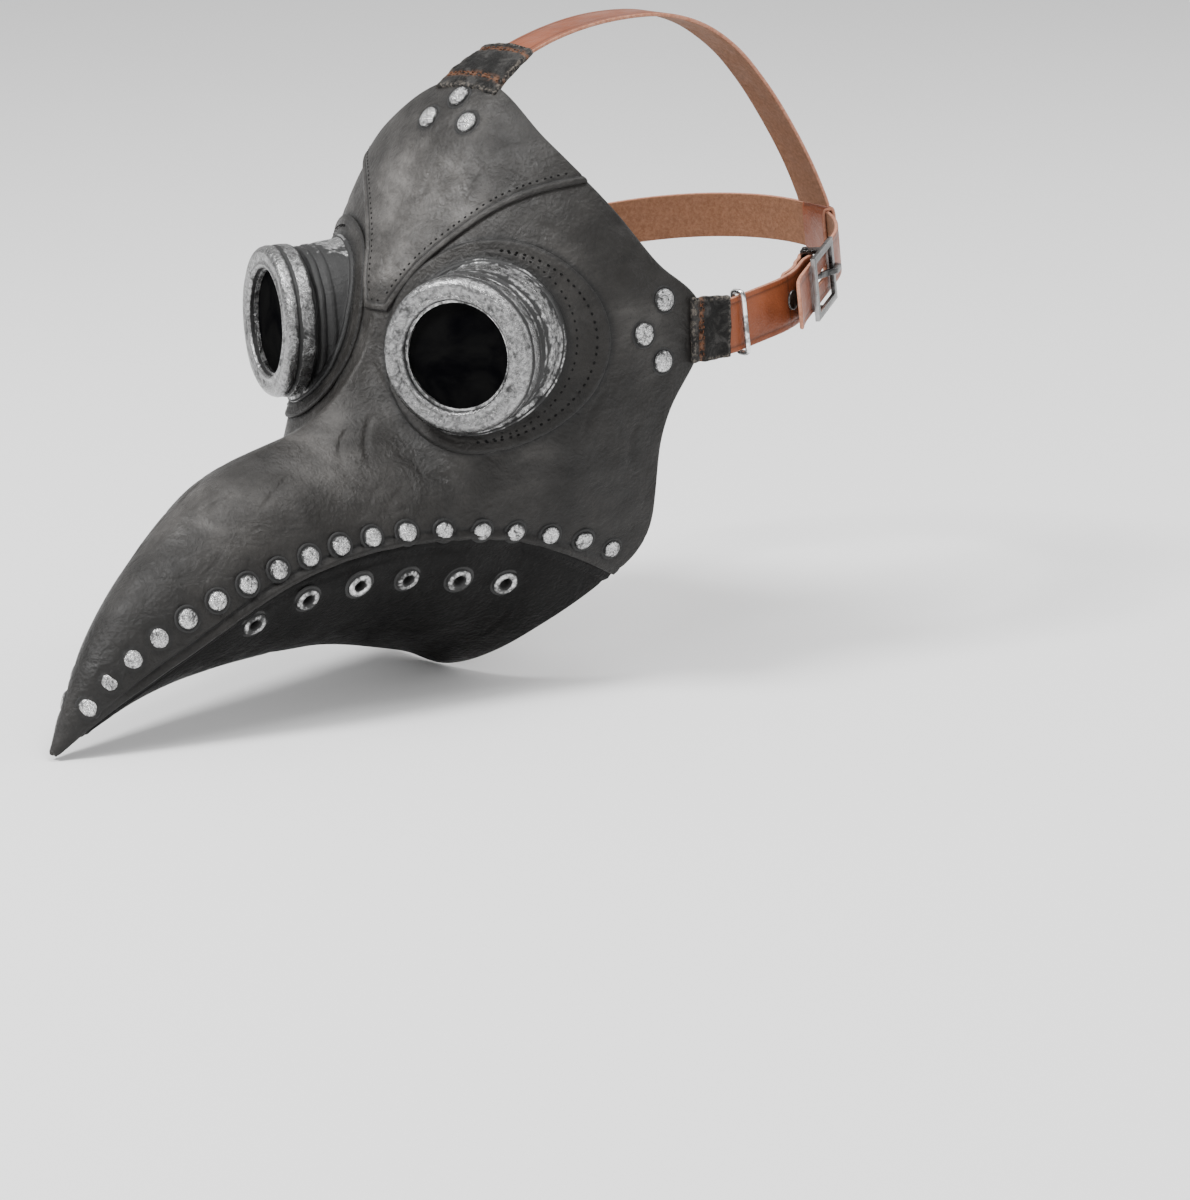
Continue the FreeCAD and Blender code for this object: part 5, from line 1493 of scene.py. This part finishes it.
def keeper_shape():
    """A wire ring with round corners about the strap."""
    path = keeper_path()
    ahead = unit(np.roll(path, -1, 0) - np.roll(path, 1, 0))
    out = np.stack([ahead[:, 1], -ahead[:, 0]], 1)
    angle = turns(WIRE_SPOKES)
    flat = path[:, None, :] + KEEPER_WIRE / 2 * np.cos(angle)[:, None] * out[:, None, :]
    along = KEEPER_WIRE / 2 * np.sin(angle) + 0 * flat[..., 0]
    place = np.stack([KEEPER_PLACE[0] + flat[..., 0], KEEPER_PLACE[1] + along], -1)
    points = dented(in_harness(place, flat[..., 1]).reshape(-1, 3), 0.08, 4, 70)
    return points, grid_faces(len(path), WIRE_SPOKES, wrap=True, loop=True)


keeper = keeper_shape()
for side_name, side_sign in SIDES:
    softened(side_name + "_buckle_frame", side_name + "_buckle_metal", side_name + "_buckle", 0.4)
    softened(side_name + "_buckle_tongue", side_name + "_tongue_metal", side_name + "_prong", 0.35)
    softened(side_name + "_fold_rivet", side_name + "_rivet_metal", "mask", 0.3)
    make_piece(side_name + "_keeper_wire", *keeper, {}, WIRE, "buckle_metal", [side_name + "_keeper_ring"],
               side_sign, side_name + "_keeper")


# ---------------------------------------------------------------- lenses and carried-over parts

# The lens turned about the goggle's axis: radius and place along the axis from the mouth.
LENS_FACE = np.array([(0.01, -3.0), (5, -3.05), (10, -3.25), (14, -3.6), (17, -4.0), (19, -4.3), (21, -4.35),
                      (24.6, -4.35), (24.8, -5.0), (24.6, -6.0), (0.01, -6.0)])
LENS_SPOKES = 96

for side_name, side_sign in SIDES:
    make_piece(side_name + "_dark_lens", lathe(LENS_FACE, LENS_SPOKES),
               grid_faces(len(LENS_FACE), LENS_SPOKES, wrap=True), {}, LENS, "lens_glass",
               [side_name + "_lens"], side_sign)
    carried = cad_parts[side_name + "_lens_retainer"]
    carried.data.materials.clear()
    carried.data.materials.append(GOGGLE)


# ---------------------------------------------------------------- camera, light and floor

CAMERA_AZIMUTH = math.radians(44)
CAMERA_ELEVATION = math.radians(14)
CAMERA_PLACE = Vector((1.09866, -1.13603, 0.27512))
FOCAL_LENGTH = 124.8
SKY_LOW, SKY_HIGH = 0.72, 0.84


def place_camera():
    data = bpy.data.cameras.new("camera")
    data.sensor_width = 36
    data.lens = FOCAL_LENGTH
    camera = placed("camera", data)
    a, e = CAMERA_AZIMUTH, CAMERA_ELEVATION
    back = Vector((math.sin(a) * math.cos(e), -math.cos(a) * math.cos(e), math.sin(e)))
    right = Vector((math.cos(a), math.sin(a), 0))
    turn = Matrix((right, back.cross(right), back)).transposed().to_4x4()
    camera.matrix_world = Matrix.Translation(CAMERA_PLACE) @ turn
    bpy.context.scene.camera = camera


def add_light(name, place, target, size, power):
    data = bpy.data.lights.new(name, "AREA")
    data.shape = "DISK"
    data.size = size
    data.energy = power
    light = placed(name, data)
    light.location = place
    light.rotation_euler = (Vector(place) - Vector(target)).to_track_quat("Z", "Y").to_euler()


def make_studio():
    middle = (cad_box[0] + cad_box[1]) / 2
    floor_z = cad_box[0].z - 0.0006
    side = np.linspace(-6000, 6000, 13)
    x, y = np.meshgrid(side, side, indexing="ij")
    points = np.stack([x, y, np.full_like(x, floor_z / MM)], -1).reshape(-1, 3)
    mesh = bpy.data.meshes.new("floor")
    mesh.from_pydata((points * MM).tolist(), [], grid_faces(13, 13).tolist())
    mesh.materials.append(floor_look())
    placed("floor", mesh)
    add_light("key", (-0.4, -1.4, 1.6), middle, 0.6, 52)
    add_light("front_fill", (1.7, -1.3, 0.8), middle, 1.0, 7)
    add_light("top", (0.3, 0.2, 1.8), middle, 1.0, 24)
    add_light("back_fill", (0.6, 1.7, 0.8), middle, 1.4, 10)
    world = bpy.data.worlds.new("studio")
    bpy.context.scene.world = world
    world.use_nodes = True
    nodes, links = world.node_tree.nodes, world.node_tree.links
    sky = nodes.new("ShaderNodeTexCoord").outputs["Generated"]
    height = nodes.new("ShaderNodeSeparateXYZ")
    links.new(sky, height.inputs["Vector"])
    glow = nodes.new("ShaderNodeMapRange")
    glow.interpolation_type = "SMOOTHSTEP"
    for place, value in ((1, 0.05), (2, 0.75), (3, SKY_LOW), (4, SKY_HIGH)):
        glow.inputs[place].default_value = value
    links.new(height.outputs["Z"], glow.inputs[0])
    nodes["Background"].inputs["Color"].default_value = (1, 1, 1, 1)
    links.new(glow.outputs["Result"], nodes["Background"].inputs["Strength"])


place_camera()
make_studio()
